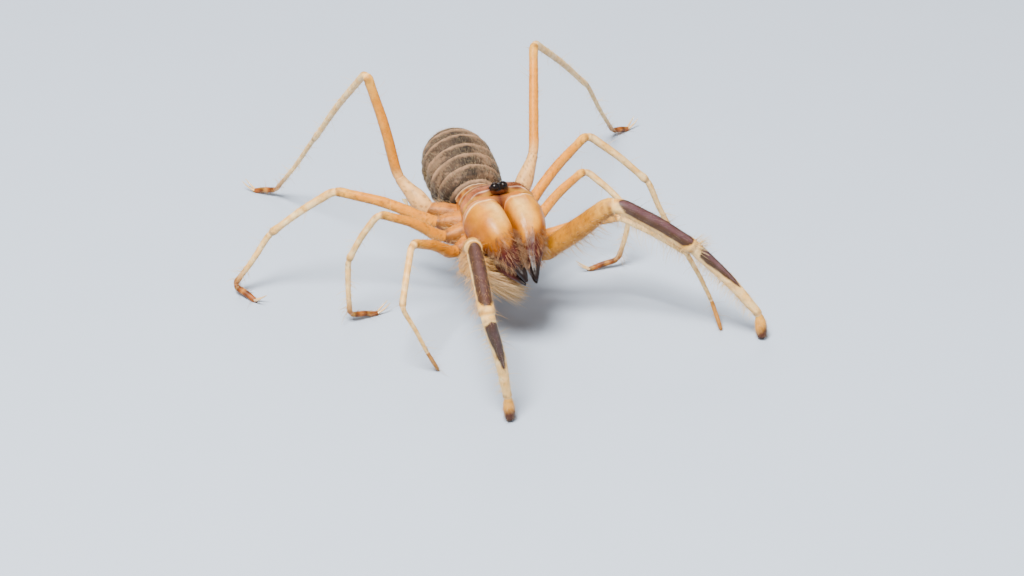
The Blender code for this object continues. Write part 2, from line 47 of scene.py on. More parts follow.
RNG = np.random.default_rng(11)

# The design drawing puts the eyes' middle here, in mm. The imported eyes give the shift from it.
EYE_MIDDLE = Vector((0.0, -3.55, 21.50))


def find_shift():
    """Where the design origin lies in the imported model, in mm."""
    low_a, high_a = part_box("left_eye")
    low_b, high_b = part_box("right_eye")
    middle = (low_a + high_a + low_b + high_b) / 4 / MM
    return middle - EYE_MIDDLE


SHIFT = find_shift()
SHIFT.z = 0.0

# Limb sizes and stance in mm and degrees, the same as in the solids.
LENGTHS = {
    "leg4": (6.2, 16.8, 24.2, 18.8, 4.2),
    "leg3": (14.8, 12.6, 10.2, 4.4),
    "leg2": (11.2, 9.5, 8.7, 4.8),
    "leg1": (11.2, 9.9, 8.9, 4.2),
    "palp": (14.4, 13.0, 13.7, 3.7),
}
HIPS = {
    "leg4": ((6.9, 6.5, 13.6), (2.4, 4.4, 12.8)),
    "leg3": ((6.8, 3.5, 13.2), (2.4, 2.6, 12.8)),
    "leg2": ((6.8, 0.5, 12.4), (2.4, 0.6, 12.6)),
    "leg1": ((6.2, -2.5, 11.5), (2.4, -1.2, 12.2)),
    "palp": ((5.2, -5.6, 10.6), (2.6, -2.4, 11.8)),
}
STANCE = {
    "right_leg4": ((126, 36), (155, 76), (102, -48), (103, -48), (133, -14)),
    "left_leg4": ((41, 48), (70, 48), (42, -40), (48, -47), (25, -20)),
    "right_leg3": ((157, 19), (149, -40), (159, -61), (-57, -9)),
    "left_leg3": ((30, 24), (-11, -43), (2, -62), (-55, -15)),
    "right_leg2": ((183, 33), (145, -61), (-46, -84), (10, -13)),
    "left_leg2": ((26, 22), (-23, -45), (132, -83), (172, -13)),
    "right_leg1": ((-149, 33), (-120, -40), (-4, -67), (10, -58)),
    "left_leg1": ((-22, 18), (-46, -17), (-7, -64), (-79, -45)),
    "right_palp": ((-106, 44), (-101, -16), (2, -79), (-56, -65)),
    "left_palp": ((-36, 44), (-24, -31), (-25, -48), (-72, -57)),
}
STRETCH = {
    "right_leg4": 1.01,
    "left_leg4": 0.98,
    "right_leg1": 0.94,
    "left_leg1": 1.06,
    "right_palp": 0.99,
    "left_palp": 1.01,
}
ANKLE = {"leg4": 1.30, "leg3": 1.30, "leg2": 1.35, "leg1": 3.60, "palp": 3.70}
TOE = {"leg4": 0.12, "leg3": 0.14, "leg2": 0.14, "leg1": 0.06, "palp": 0.06}
# Half thickness of each segment: start, end, belly, knob at the far joint.
THICK = {
    "leg4": ((1.12, 0.74, 0.04, 0.00), (0.76, 0.64, 0.04, 0.05), (0.54, 0.40, 0.02, 0.08),
             (0.38, 0.30, 0.00, 0.07), (0.38, 0.34, 0.06, 0.00)),
    "leg3": ((0.84, 0.60, 0.06, 0.05), (0.60, 0.44, 0.02, 0.14),
             (0.46, 0.36, 0.00, 0.07), (0.42, 0.36, 0.06, 0.00)),
    "leg2": ((0.80, 0.54, 0.04, 0.05), (0.50, 0.40, 0.02, 0.12),
             (0.42, 0.34, 0.00, 0.06), (0.40, 0.36, 0.05, 0.00)),
    "leg1": ((0.84, 0.58, 0.05, 0.04), (0.52, 0.46, 0.02, 0.06),
             (0.38, 0.28, 0.00, 0.00), (0.29, 0.26, 0.04, 0.00)),
    "palp": ((1.24, 1.16, 0.30, 0.06), (1.06, 1.00, 0.10, 0.10),
             (0.96, 0.60, 0.06, 0.00), (0.54, 0.50, 0.26, 0.00)),
}
FILLET = {
    "leg4": (1.5, 1.6, 1.5, 1.2, 0.9),
    "leg3": (1.8, 1.4, 1.2, 0.9),
    "leg2": (1.8, 1.3, 1.1, 1.0),
    "leg1": (1.6, 1.3, 1.0, 0.8),
    "palp": (1.8, 2.1, 2.1, 1.1),
}
# Half thickness of each limb's root inside the body, mm.
ROOT = {"leg4": 1.55, "leg3": 1.85, "leg2": 1.80, "leg1": 1.60, "palp": 1.60}
# How far the middle of each segment bows away from a straight line, mm up.
BOW = {
    "leg4": (0.0, 0.25, 0.25, -0.20, 0.10),
    "leg3": (0.55, 0.20, -0.15, 0.10),
    "leg2": (0.45, 0.20, -0.15, 0.10),
    "leg1": (0.35, 0.15, 0.10, 0.0),
    "palp": (-0.15, 0.20, 0.25, 0.0),
}
# Knob near each segment's far end: its place along the segment, and its width in mm.
KNOB_AT = 0.93
KNOB_WIDE = 0.9
# How far the skin draws in at the root joint and at the others, as a share of its thickness.
ROOT_PINCH = 0.03
JOINT_PINCH = 0.085
# Points round the skin of a palp and of a leg.
PALP_SIDES = 32
LEG_SIDES = 24
# Pieces of each corner and each straight run of a centre line, and the turn under which a corner
# counts as straight, in radians.
RUN_STEPS = 12
STRAIGHT = 0.02
# How far round the palps' dark stripes sit from the very top, in radians.
STRIPE_LEAN = {"left_palp": 0.62, "right_palp": 0.05}
PARTS = ("basifemur", "femur", "tibia", "metatarsus", "tarsus")
PAIRS = ("leg4", "leg3", "leg2", "leg1", "palp")
CLAWED = ("leg4", "leg3", "leg2")
SIDES = ("left", "right")


# Colours, as sRGB hex turned to linear light.
def shade(text):
    """Linear colour from a hex string."""
    out = []
    for i in (0, 2, 4):
        c = int(text[i:i + 2], 16) / 255
        out.append(c / 12.92 if c <= 0.04045 else ((c + 0.055) / 1.055) ** 2.4)
    return np.array(out)


ORANGE = shade("d0800e")
PEACH = shade("e2a644")
CREAM = shade("f2d096")
PEACH_PALE = shade("dcae70")
STRAW = shade("c88a28")
GOLD = shade("ac6c00")
SPOT = shade("7a3f1e")
RUST = shade("4a2208")
TAN = shade("8e4c18")
STRIPE = shade("200c16")
STRIPE_PALE = shade("4a2e40")
BROWN = shade("4a2412")
OCHRE = shade("9c5610")
AMBER = shade("ac6000")
AMBER_PALE = shade("cc8406")
AMBER_DEEP = shade("702c00")
MAROON = shade("3c0906")
BLACKISH = shade("100403")
PLATE = shade("6e3418")
PLATE_PINK = shade("9a5a3a")
PLATE_DARK = shade("4a2416")
BAND = shade("46362a")
BAND_DARK = shade("1e1712")
BAND_PALE = shade("ac8666")
FLANK = shade("6a5434")
HAIR_PALE = shade("e4cc9c")
HAIR_GOLD = shade("dca860")
HAIR_OCHRE = shade("c48a40")
FRINGE = shade("d8923c")
FRECKLE = shade("6a3c10")
CREASE = shade("6a431e")
SHADOW = shade("5e3a1a")
RIM_PALE = shade("ecc0a4")
EYE_BLACK = shade("0a0505")
JAW_SHADE = shade("8c4400")
BELLY = shade("a89474")
FORELEG_TAN = shade("b4782e")
PALP_TAN = shade("be7c26")
ROOT_BROWN = shade("7a4e22")
BODY_BROWN = shade("5a3818")
FRONT_OCHRE = shade("a4601a")
FRONT_SHADE = shade("481a04")
PLATE_WARM = shade("9a5a2c")
LOBE = shade("a8643a")
BROW = shade("b8842e")
HIND_RIM = shade("dcb090")
NOTCH_SHADE = shade("6e2c08")
EYE_RING = shade("3c1c10")
NARROW_RIM = shade("e4c49c")
MOUND_BROWN = shade("5a2c14")
JAW_SIDE_SHADE = shade("8e4e00")
JAW_HIGHLIGHT = shade("f4ca78")
JAW_FLECK = shade("b0601c")
OLIVE = shade("5a3c12")
COLLAR = shade("c88458")
COLLAR_RIM = shade("f0c898")
JAW_ROOT = shade("b4581c")
HAIR_GREY = shade("c8b088")
HAIR_PINK = shade("d89468")
BRUSH = shade("dcb07c")
BRUSH_DARK = shade("7c4a26")


def mix(a, b, t):
    """Blend of two colours, or fields of colours, by a field t."""
    t = np.clip(np.asarray(t, float), 0, 1)[..., None]
    return a * (1 - t) + b * t


def layers(tone, *coats):
    """Colours laid over a tone one after another, each by a field of its own."""
    for colour, share in coats:
        tone = mix(tone, colour, share)
    return tone


def step(low, high, x):
    """Smooth step from 0 at low to 1 at high."""
    t = np.clip((np.asarray(x, float) - low) / (high - low), 0, 1)
    return t * t * (3 - 2 * t)


def hump(x, middle, width):
    """Bell of height 1."""
    return np.exp(-((np.asarray(x, float) - middle) / width) ** 2)


# The irregular field: how many waves, what their sum is divided by, and a full turn, rounded.
WAVES = 9
WAVE_SUM = 4.2
TURN = 6.283


def ripple(x, y, z, scale, seed):
    """Smooth irregular field of about -1 to 1, from sums of slanted waves."""
    rng = np.random.default_rng(seed)
    total = np.zeros(np.broadcast(x, y, z).shape)
    for _ in range(WAVES):
        way = rng.normal(size=3)
        way = way / np.linalg.norm(way)
        rate = scale * (0.7 + 0.9 * rng.random())
        phase = rng.random() * TURN
        total = total + np.sin((way[0] * x + way[1] * y + way[2] * z) * rate * TURN + phase)
    return total / WAVE_SUM


def ripple_at(p, scale, seed):
    """The irregular field at an array of points."""
    return ripple(p[..., 0], p[..., 1], p[..., 2], scale, seed)


def knots(table, u):
    """Smooth values at u from a short table of (place, value)."""
    u = np.asarray(u, float)
    out = np.full(u.shape, float(table[-1][1]))
    for (a, va), (b, vb) in reversed(list(zip(table, table[1:]))):
        t = np.clip((u - a) / (b - a), 0, 1)
        t = t * t * (3 - 2 * t)
        out = np.where(u <= b, va + (vb - va) * t, out)
    return out


def unit(v):
    """Each row of v scaled to length 1."""
    return v / np.maximum(np.linalg.norm(v, axis=-1, keepdims=True), 1e-12)


def around(sides):
    """Even angles of one full turn."""
    return np.arange(sides) * 2 * math.pi / sides


def turned(rows, sides):
    """Two grids: each row's value, and the angles round it."""
    return np.meshgrid(rows, around(sides), indexing="ij")


def latitudes(rows):
    """Rows of a ball from pole to pole, without the poles."""
    return np.linspace(-math.pi / 2, math.pi / 2, rows + 2)[1:-1]


def capped(tone):
    """Colours of a swept body's rings, then of its two end points."""
    tone = tone.reshape(-1, 3)
    return np.concatenate([tone, tone[:1], tone[-1:]])


# Mesh making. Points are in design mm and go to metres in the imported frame.
def new_object(name, shape, tone, material):
    """A smooth mesh object from points and arrays of faces, with a colour for each point."""
    verts, groups = shape
    mesh = bpy.data.meshes.new(name)
    world = (verts + np.array(SHIFT)) * MM
    world[:, 2] = np.maximum(world[:, 2], 0.0)
    mesh.vertices.add(len(verts))
    mesh.vertices.foreach_set("co", world.astype(np.float32).ravel())
    loops = np.concatenate([g.ravel() for g in groups]).astype(np.int32)
    sizes = np.concatenate([np.full(len(g), g.shape[1]) for g in groups])
    starts = np.concatenate([[0], np.cumsum(sizes)[:-1]]).astype(np.int32)
    mesh.loops.add(len(loops))
    mesh.loops.foreach_set("vertex_index", loops)
    mesh.polygons.add(len(sizes))
    mesh.polygons.foreach_set("loop_start", starts)
    mesh.polygons.foreach_set("use_smooth", np.ones(len(sizes), dtype=bool))
    mesh.update(calc_edges=True)
    paint(mesh, tone)
    obj = bpy.data.objects.new(name, mesh)
    bpy.context.collection.objects.link(obj)
    mesh.materials.append(material)
    return obj


def paint(mesh, tone):
    """Store a colour for each point, under the name that the materials read."""
    count = len(mesh.vertices)
    rgba = np.ones((count, 4), np.float32)
    rgba[:, :3] = np.broadcast_to(tone, (count, 3))
    layer = mesh.color_attributes.new(name="tone", type="FLOAT_COLOR", domain="POINT")
    layer.data.foreach_set("color", rgba.ravel())


def ring_faces(rows, sides, offset=0, closed=True):
    """Four-sided faces between rows of points."""
    r = np.arange(rows - 1)[:, None]
    k = np.arange(sides if closed else sides - 1)[None, :]
    n = (k + 1) % sides
    a = offset + r * sides + k
    b = offset + r * sides + n
    return np.stack([a, b, b + sides, a + sides], axis=-1).reshape(-1, 4)


def closed_sweep(rings, tips=None):
    """Points and faces of a body through rings (rows, sides, 3), with a point at each end."""
    rows, sides, _ = rings.shape
    first = rings[0].mean(axis=0) if tips is None else tips[0]
    last = rings[-1].mean(axis=0) if tips is None else tips[1]
    verts = np.concatenate([rings.reshape(-1, 3), [first, last]])
    k = np.arange(sides)
    n = (k + 1) % sides
    base = (rows - 1) * sides
    a = np.stack([np.full(sides, rows * sides), n, k], axis=-1)
    b = np.stack([np.full(sides, rows * sides + 1), base + k, base + n], axis=-1)
    return verts, [ring_faces(rows, sides), np.concatenate([a, b])]


def shell(top, bottom):
    """Points and faces of a plate between two grids of points of one size."""
    rows, cols, _ = top.shape
    half = rows * cols
    verts = np.concatenate([top.reshape(-1, 3), bottom.reshape(-1, 3)])
    upper = ring_faces(rows, cols, 0, False)
    lower = ring_faces(rows, cols, half, False)[:, ::-1]
    loop = [r * cols for r in range(rows)] + [half - cols + c for c in range(1, cols)]
    loop += [r * cols + cols - 1 for r in range(rows - 2, -1, -1)] + list(range(cols - 2, 0, -1))
    edge = [(a, b, b + half, a + half) for a, b in zip(loop, loop[1:] + loop[:1])]
    return verts, [upper, lower, np.array(edge)]


def outward(obj):
    """Turn the faces of a closed mesh to look outwards."""
    bm = bmesh.new()
    bm.from_mesh(obj.data)
    bmesh.ops.recalc_face_normals(bm, faces=bm.faces)
    if bm.calc_volume(signed=True) < 0:
        bmesh.ops.reverse_faces(bm, faces=bm.faces)
    bm.to_mesh(obj.data)
    bm.free()
    return obj


def finish_piece(obj, nodes=()):
    """A piece rides on the one body, and the nodes it stands for are hidden."""
    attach(obj, "root")
    if nodes:
        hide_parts(*nodes)


def piece(name, shape, tone, look, nodes=()):
    """A closed piece from points and faces, with its faces turned outwards."""
    finish_piece(outward(new_object(name, shape, tone, MATS[look])), nodes)


# Materials.
def material(name):
    """An empty material with its shader, and helpers to reach both."""
    mat = bpy.data.materials.new(name)
    mat.use_nodes = True
    tree = mat.node_tree
    return mat, tree, tree.nodes["Principled BSDF"]


def add(tree, kind, values=None, **fields):
    """A shader node with its fields and unlinked inputs set."""
    node = tree.nodes.new(kind)
    for key, value in fields.items():
        setattr(node, key, value)
    for key, value in (values or {}).items():
        node.inputs[key].default_value = value
    return node


def scaled_place(tree):
    """Object coordinates in millimetres."""
    place = add(tree, "ShaderNodeTexCoord")
    scale = add(tree, "ShaderNodeVectorMath", operation="SCALE", values={"Scale": 1000.0})
    tree.links.new(place.outputs["Object"], scale.inputs[0])
    return scale.outputs["Vector"]


def noise_node(tree, place, scale, detail=4.0, rough=0.55):
    """Value of a noise at a place."""
    node = add(tree, "ShaderNodeTexNoise", {"Scale": scale, "Detail": detail, "Roughness": rough})
    tree.links.new(place, node.inputs["Vector"])
    return node.outputs["Fac"]


def spread(tree, value, low, high, to_low, to_high):
    """Map a range of a value to another range, clamped."""
    node = add(tree, "ShaderNodeMapRange",
               {"From Min": low, "From Max": high, "To Min": to_low, "To Max": to_high})
    tree.links.new(value, node.inputs["Value"])
    return node.outputs["Result"]


def math_node(tree, kind, a, b):
    """Sum or product of two node outputs."""
    node = add(tree, "ShaderNodeMath", operation=kind)
    tree.links.new(a, node.inputs[0])
    tree.links.new(b, node.inputs[1])
    return node.outputs["Value"]


def bump_node(tree, shader, height, strength, distance):
    """Fine relief of a shader from a height."""
    dent = add(tree, "ShaderNodeBump", {"Strength": strength, "Distance": distance})
    tree.links.new(height, dent.inputs["Height"])
    tree.links.new(dent.outputs["Normal"], shader.inputs["Normal"])


def cuticle(name, rough, coat, glow, bump, grain, mottle, pores, layer_rough, subsurface, shine):
    """Horny skin: the tone painted on the points, mottled, with fine relief and a waxy coat."""
    mat, tree, shader = material(name)
    place = scaled_place(tree)
    tone = add(tree, "ShaderNodeAttribute", attribute_name="tone")
    coarse = noise_node(tree, place, 0.9, 5.0)
    fine = noise_node(tree, place, 6.0, 6.0, 0.65)
    light = math_node(tree, "MULTIPLY", spread(tree, coarse, 0.25, 0.75, 1 - mottle, 1 + mottle),
                      spread(tree, fine, 0.2, 0.8, 1 - mottle * 0.8, 1 + mottle * 0.8))
    tint = add(tree, "ShaderNodeMix", data_type="RGBA", blend_type="MULTIPLY")
    tint.inputs["Factor"].default_value = 1.0
    tree.links.new(tone.outputs["Color"], tint.inputs["A"])
    tree.links.new(light, tint.inputs["B"])
    tree.links.new(tint.outputs["Result"], shader.inputs["Base Color"])
    tree.links.new(spread(tree, fine, 0.3, 0.7, rough - 0.08, rough + 0.10), shader.inputs["Roughness"])
    relief = noise_node(tree, place, grain, 5.0, 0.6)
    if pores > 0:
        cells = add(tree, "ShaderNodeTexVoronoi", {"Scale": grain * 0.8}, feature="F1")
        tree.links.new(place, cells.inputs["Vector"])
        pit = spread(tree, cells.outputs["Distance"], 0.0, 0.45, 0.0, pores)
        relief = math_node(tree, "ADD", relief, pit)
    bump_node(tree, shader, relief, bump, 0.00006)
    for key, value in (
        ("Coat Weight", coat),
        ("Coat Roughness", layer_rough),
        ("Subsurface Weight", subsurface),
        ("Subsurface Radius", (1.0, 0.6, 0.3)),
        ("Subsurface Scale", glow),
        ("IOR", 1.48),
        ("Specular IOR Level", shine),
    ):
        shader.inputs[key].default_value = value
    return mat


# Name, roughness, coat, depth of glow in metres, bump, grain per mm, mottling, pores,
# roughness of the coat, share of subsurface light, shine.
LOOKS = {
    "skin": ("limb_skin", 0.44, 0.02, 0.0005, 0.50, 9.0, 0.18, 0.3, 0.35, 0.12, 0.24),
    "plate": ("head_plate", 0.40, 0.08, 0.0003, 0.60, 7.0, 0.26, 0.4, 0.30, 0.06, 0.25),
    "jaw": ("jaw_shell", 0.36, 0.04, 0.0005, 0.42, 5.0, 0.18, 0.25, 0.22, 0.06, 0.30),
    "finger": ("jaw_finger", 0.34, 0.06, 0.0002, 0.25, 6.0, 0.18, 0.0, 0.12, 0.04, 0.35),
    "abdomen": ("abdomen_skin", 0.58, 0.0, 0.0003, 0.80, 8.0, 0.34, 0.5, 0.40, 0.0, 0.18),
    "claw": ("claw_horn", 0.25, 0.40, 0.0005, 0.15, 6.0, 0.10, 0.0, 0.10, 0.30, 0.5),
    "hair": ("bristle", 0.36, 0.05, 0.0002, 0.10, 12.0, 0.12, 0.0, 0.30, 0.10, 0.25),
}
MATS = {key: cuticle(*row) for key, row in LOOKS.items()}


def noise_colour(tree, shader, factor, low, high):
    """Base colour of a shader between two colours."""
    ramp = add(tree, "ShaderNodeMix", data_type="RGBA")
    ramp.inputs["A"].default_value = low
    ramp.inputs["B"].default_value = high
    tree.links.new(factor, ramp.inputs["Factor"])
    tree.links.new(ramp.outputs["Result"], shader.inputs["Base Color"])


def eye_material():
    """Black glassy lens with a faint brown depth."""
    mat, tree, shader = material("eye_lens")
    place = scaled_place(tree)
    deep = noise_node(tree, place, 2.0, 3.0)
    noise_colour(tree, shader, spread(tree, deep, 0.35, 0.7, 0.0, 1.0),
                 (0.003, 0.003, 0.004, 1), (0.018, 0.009, 0.006, 1))
    tree.links.new(spread(tree, deep, 0.3, 0.7, 0.22, 0.32), shader.inputs["Roughness"])
    bump_node(tree, shader, noise_node(tree, place, 9.0, 3.0), 0.08, 0.00003)
    shader.inputs["Specular IOR Level"].default_value = 0.16
    shader.inputs["Coat Weight"].default_value = 0.02
    shader.inputs["Coat Roughness"].default_value = 0.05
    return mat


MATS["eye"] = eye_material()


# Limb centre lines, made by the same steps as in the solids.
def heading(bearing, rise):
    """Unit vector from degrees round and degrees up."""
    b = math.radians(bearing)
    e = math.radians(rise)
    return Vector((math.cos(b) * math.cos(e), math.sin(b) * math.cos(e), math.sin(e)))


def joints(side, pair):
    """Root, hip, knee, tibia end, ankle and toe of one limb, in mm."""
    sign = 1 if side == "left" else -1
    hip, root = HIPS[pair]
    points = [Vector((sign * root[0], root[1], root[2])), Vector((sign * hip[0], hip[1], hip[2]))]
    name = side + "_" + pair
    last = len(LENGTHS[pair]) - 1
    for index, (bearing, rise) in enumerate(STANCE[name]):
        length = LENGTHS[pair][index] * STRETCH.get(name, 1.0)
        way = heading(bearing, rise) * length
        start = points[-1]
        if index >= last - 1:
            level = TOE[pair] if index == last else ANKLE[pair]
            drop = level - start.z
            flat = math.sqrt(max(length * length - drop * drop, 0.0))
            plan = Vector((way.x, way.y, 0)).normalized() * flat
            way = Vector((plan.x, plan.y, drop))
        points.append(start + way)
    return points


def lengths(line):
    """Length run at each point of a line."""
    run = [0.0]
    for a, b in zip(line, line[1:]):
        run.append(run[-1] + (b - a).length)
    return run


def rounded(points, radii, bows):
    """Dense centre line with round corners, and the length at each mid corner."""
    line = [points[0].copy()]
    marks = []
    for i in range(1, len(points) - 1):
        before = (points[i] - points[i - 1]).normalized()
        after = (points[i + 1] - points[i]).normalized()
        bend = before.angle(after)
        reach = radii[i - 1]
        start = points[i] - before * reach
        if bend < STRAIGHT:
            arc = [start, points[i].copy(), points[i] + after * reach]
        else:
            radius = reach / math.tan(bend / 2)
            side = (after - before * after.dot(before)).normalized()
            arc = []
            for k in range(RUN_STEPS + 1):
                a = bend * k / RUN_STEPS
                arc.append(start + before * (radius * math.sin(a)) + side * (radius * (1 - math.cos(a))))
        straight = line[-1]
        line += [straight.lerp(arc[0], k / RUN_STEPS) for k in range(1, RUN_STEPS)]
        line += arc
        marks.append(len(line) - 1 - len(arc) // 2)
    straight = line[-1]
    line += [straight.lerp(points[-1], k / RUN_STEPS) for k in range(1, RUN_STEPS + 1)]
    run = lengths(line)
    bounds = marks + [len(line) - 1]
    for first, last, bow in zip(bounds, bounds[1:], bows):
        along = (line[last] - line[first]).normalized()
        rise = (Vector((0, 0, 1)) - along * along.z).normalized()
        for i in range(first, last + 1):
            u = (run[i] - run[first]) / (run[last] - run[first])
            line[i] = line[i] + rise * (bow * math.sin(math.pi * u) ** 2)
    run = lengths(line)
    return line, run, [run[m] for m in marks]


def carried_frames(line, first_up):
    """Tangent and up vector at each point, carried along without twist."""
    tangents = []
    for i in range(len(line)):
        a = line[max(i - 1, 0)]
        b = line[min(i + 1, len(line) - 1)]
        tangents.append((b - a).normalized())
    up = (first_up - tangents[0] * first_up.dot(tangents[0])).normalized()
    ups = [up]
    for a, b in zip(tangents, tangents[1:]):
        up = a.rotation_difference(b) @ up
        up = (up - b * up.dot(b)).normalized()
        ups.append(up)
    return tangents, ups


class Limb:
    """One limb: its centre line and the shape, markings and hair of its skin."""

    def __init__(self, side, pair):
        """Centre line, frames and joint places of one limb."""
        self.side = side
        self.pair = pair
        self.name = side + "_" + pair
        self.points = joints(side, pair)
        line, run, marks = rounded(self.points, FILLET[pair], BOW[pair])
        tangents, ups = carried_frames(line, Vector((0, 0, 1)))
        self.run = np.array(run)
        self.line, self.tangents, self.ups = [
            np.array([tuple(p) for p in rows]) for rows in (line, tangents, ups)
        ]
        self.ends = np.array(marks + [run[-1]])
        self.count = len(LENGTHS[pair])
        self.first_femur = self.count - 4
        self.flat = 0.96 if pair == "palp" else 0.90
        self.slot = SIDES.index(side) * 5 + PAIRS.index(pair)

    def part(self, index):
        """Name of a segment."""
        return PARTS[index + 5 - self.count]

    def along(self, rows, s):
        """Rows given along the centre line, read at lengths s."""
        return np.stack([np.interp(s, self.run, rows[:, i]) for i in range(3)], axis=-1)

    def frame_at(self, s):
        """Centre, tangent, right and up at lengths s."""
        centre = self.along(self.line, s)
        tangent = unit(self.along(self.tangents, s))
        up = self.along(self.ups, s)
        up = unit(up - tangent * np.sum(up * tangent, axis=-1, keepdims=True))
        right = np.cross(tangent, up)
        return centre, tangent, right, up

    def where(self, s):
        """Segment number and place along it for lengths s. The stub in the body is -1."""
        index = np.clip(np.searchsorted(self.ends, s, side="right") - 1, -1, self.count - 1)
        start = np.where(index < 0, 0.0, self.ends[np.maximum(index, 0)])
        end = self.ends[np.minimum(index + 1, self.count)]
        u = np.clip((s - start) / (end - start), 0, 1)
        return index, u, end - start

    def radius(self, s):
        """Half height of the skin at lengths s: belly, knobs and the pinch at each joint."""
        s = np.asarray(s, float)
        index, u, length = self.where(s)
        table = np.array(THICK[self.pair])
        spec = table[np.clip(index, 0, self.count - 1)]
        r = spec[..., 0] + (spec[..., 1] - spec[..., 0]) * u + spec[..., 2] * np.sin(math.pi * u)
        r = r + spec[..., 3] * hump((u - KNOB_AT) * length, 0, KNOB_WIDE)
        base = table[0][0]
        stub = ROOT[self.pair] + (base - ROOT[self.pair]) * u + 0.22 * np.sin(math.pi * u)
        r = np.where(index < 0, stub, r)
        if self.pair == "leg4":
            r = r + 0.32 * hump(s - self.ends[0], 2.0, 2.0)
        else:
            r = r * (1 + 0.10 * hump(s - self.ends[0], 1.5, 0.9) * (index == 0))
        for n, mark in enumerate(self.ends[:-1]):
            before = table[n - 1][1] if n > 0 else base
            after = table[n][0]
            blend = step(-0.30, 0.30, s - mark)
            near = hump(s, mark, 0.45)
            level = before + (after - before) * blend
            r = r * (1 - near) + level * near
            size = min(before, after)
            pinch = ROOT_PINCH if n == 0 else JOINT_PINCH
            r = r - size * pinch * hump(s, mark, 0.13)
            r = r + size * 0.6 * pinch * hump(s, mark - 0.45, 0.40)
        toe = self.ends[-1]
        r = r * np.sqrt(np.clip((toe - s + 0.03) / 0.45, 0.05, 1))
        if self.pair == "palp":
            r = r * (1 + 0.05 * hump(s, toe - 1.6, 0.9))
        return r

    def skin(self, s, a):
        """Points, outward normals and tangents of the skin at lengths s and angles a."""
        centre, tangent, right, up = self.frame_at(s)
        r = self.radius(s)
        r = r * (1 + 0.02 * ripple(centre[..., 0], centre[..., 1], centre[..., 2] + a * 0.4, 0.35, 5))
        wide = r * self.flat
        for mark in self.ends[:-1]:
            cheek = np.abs(np.cos(a)) ** 3 * hump(s, mark - 0.15, 0.40)
            wide = wide + r * 0.08 * cheek
        wide = wide[..., None]
        high = r[..., None]
        c = np.cos(a)[..., None]
        n = np.sin(a)[..., None]
        point = centre + right * (wide * c) + up * (high * n)
        normal = unit(right * (c / wide) + up * (n / high))
        return point, normal, tangent

    def stations(self):
        """Lengths of the rings: dense near the joints."""
        toe = self.ends[-1]
        s = [0.0]
        while s[-1] < toe:
            near = np.min(np.abs(self.ends - s[-1]))
            s.append(s[-1] + 0.07 + 0.24 * float(step(0.4, 1.6, near)))
        s = [v for v in s if v < toe - 0.05]
        return np.array(s + [toe - 0.02])

    def base_tone(self, n, u, mm, top, blotch):
        """Ground colour of one segment, before its joints and markings."""
        palp = self.pair == "palp"
        if n < self.first_femur:
            bright = 0.55 + 0.25 * u if n >= 0 else 0.30 + 0.20 * u
            return mix(OCHRE, ORANGE, bright + 0.30 * blotch)
        if n == self.first_femur:
            tone = mix(GOLD if palp else ORANGE, PEACH, 0.14 + 0.15 * blotch - 0.25 * top)
            tone = mix(tone, PEACH, step(0.72, 1.0, u) * 0.8)
            return mix(tone, AMBER_DEEP, step(0.1, 0.9, blotch) * 0.45) if palp else tone
        if n == self.first_femur + 1:
            tone = mix(PEACH, CREAM, (0.36 if palp else 0.62) + 0.35 * blotch - 0.2 * top)
            return mix(tone, ORANGE, 0.42 * step(0.45, 0.95, top) * (1.1 - u))
        if n == self.count - 2:
            return mix(PEACH, CREAM, 0.58 + 0.3 * blotch - 0.2 * top)
        if palp:
            return layers(
                mix(PALP_TAN, PEACH, 0.25 + 0.3 * blotch + 0.5 * step(0.30, 0.0, u)),
                (BROWN, step(0.40, 0.75, u + 0.12 * top)),
                (BLACKISH, step(0.80, 0.98, u) * 0.85),
            )
        if self.pair == "leg1":
            return mix(FORELEG_TAN, RUST, 0.05 + 0.45 * step(0.4, 1.0, u))
        tone = mix(TAN, RUST, 0.45 + 0.45 * np.sin(mm * 3.3) + 0.25 * blotch)
        return mix(tone, PEACH, 0.30 * step(0.0, 0.8, blotch + 0.5 * np.sin(mm * 5.1)))

    def tone(self, s, a):
        """Markings of the skin, with painted shade on the undersides."""
        s, a = np.broadcast_arrays(np.asarray(s, float), np.asarray(a, float))
        index, u, length = self.where(s)
        top = np.sin(a)
        side = np.abs(np.cos(a))
        mm = u * length
        left = (1 - u) * length
        p = self.along(self.line, s) * 2
        blotch = ripple(p[..., 0], p[..., 1] + a * 0.5, p[..., 2], 0.35, 21)
        reach = self.radius(s)
        dots = step(0.42, 0.85, ripple(np.cos(a) * reach, top * reach, s, 1.5, 23 + self.slot))
        out = np.broadcast_to(STRAW, s.shape + (3,)).copy()
        last = self.count - 1
        femur = self.first_femur
        for n in range(-1, self.count):
            tone = self.base_tone(n, u, mm, top, blotch)
            if n < 0:
                tone = layers(
                    tone,
                    (CREASE, 0.80 * step(0.55, 0.98, side)),
                    (ROOT_BROWN, 0.65 * step(0.45, -0.35, top)),
                    (CREASE, 0.55 * hump(u, 0.93, 0.06)),
                )
            if self.pair == "leg4" and n in (0, 1):
                pale = step(2.6, -0.6, s - self.ends[1]) * step(-0.9, 0.6, s - self.ends[0])
                tone = mix(tone, PEACH_PALE, 0.75 * pale)
            if n < last:
                freckles = 0.60 if n < femur else 0.50 if n == 0 else 0.28
                # Painted shade: each segment's underside is darkened to deep amber by this share.
                under = 0.38 if n <= femur else 0.15
                tone = layers(
                    tone,
                    (FRECKLE, dots * freckles),
                    (AMBER_DEEP, under * step(0.1, -0.95, top)),
                )
            if femur <= n < last:
                tone = layers(
                    tone,
                    (RUST, 0.55 * hump(left, 0.55, 0.28) * step(0.1, 0.9, side)),
                    (SPOT, 0.35 * hump(left, 0.30, 0.14)),
                    (CREAM, 0.55 * hump(left, 0.0, 0.18)),
                )
            if n > femur:
                tone = mix(tone, RUST, 0.35 * hump(mm, 0.45, 0.22) * step(-0.2, 0.8, top))
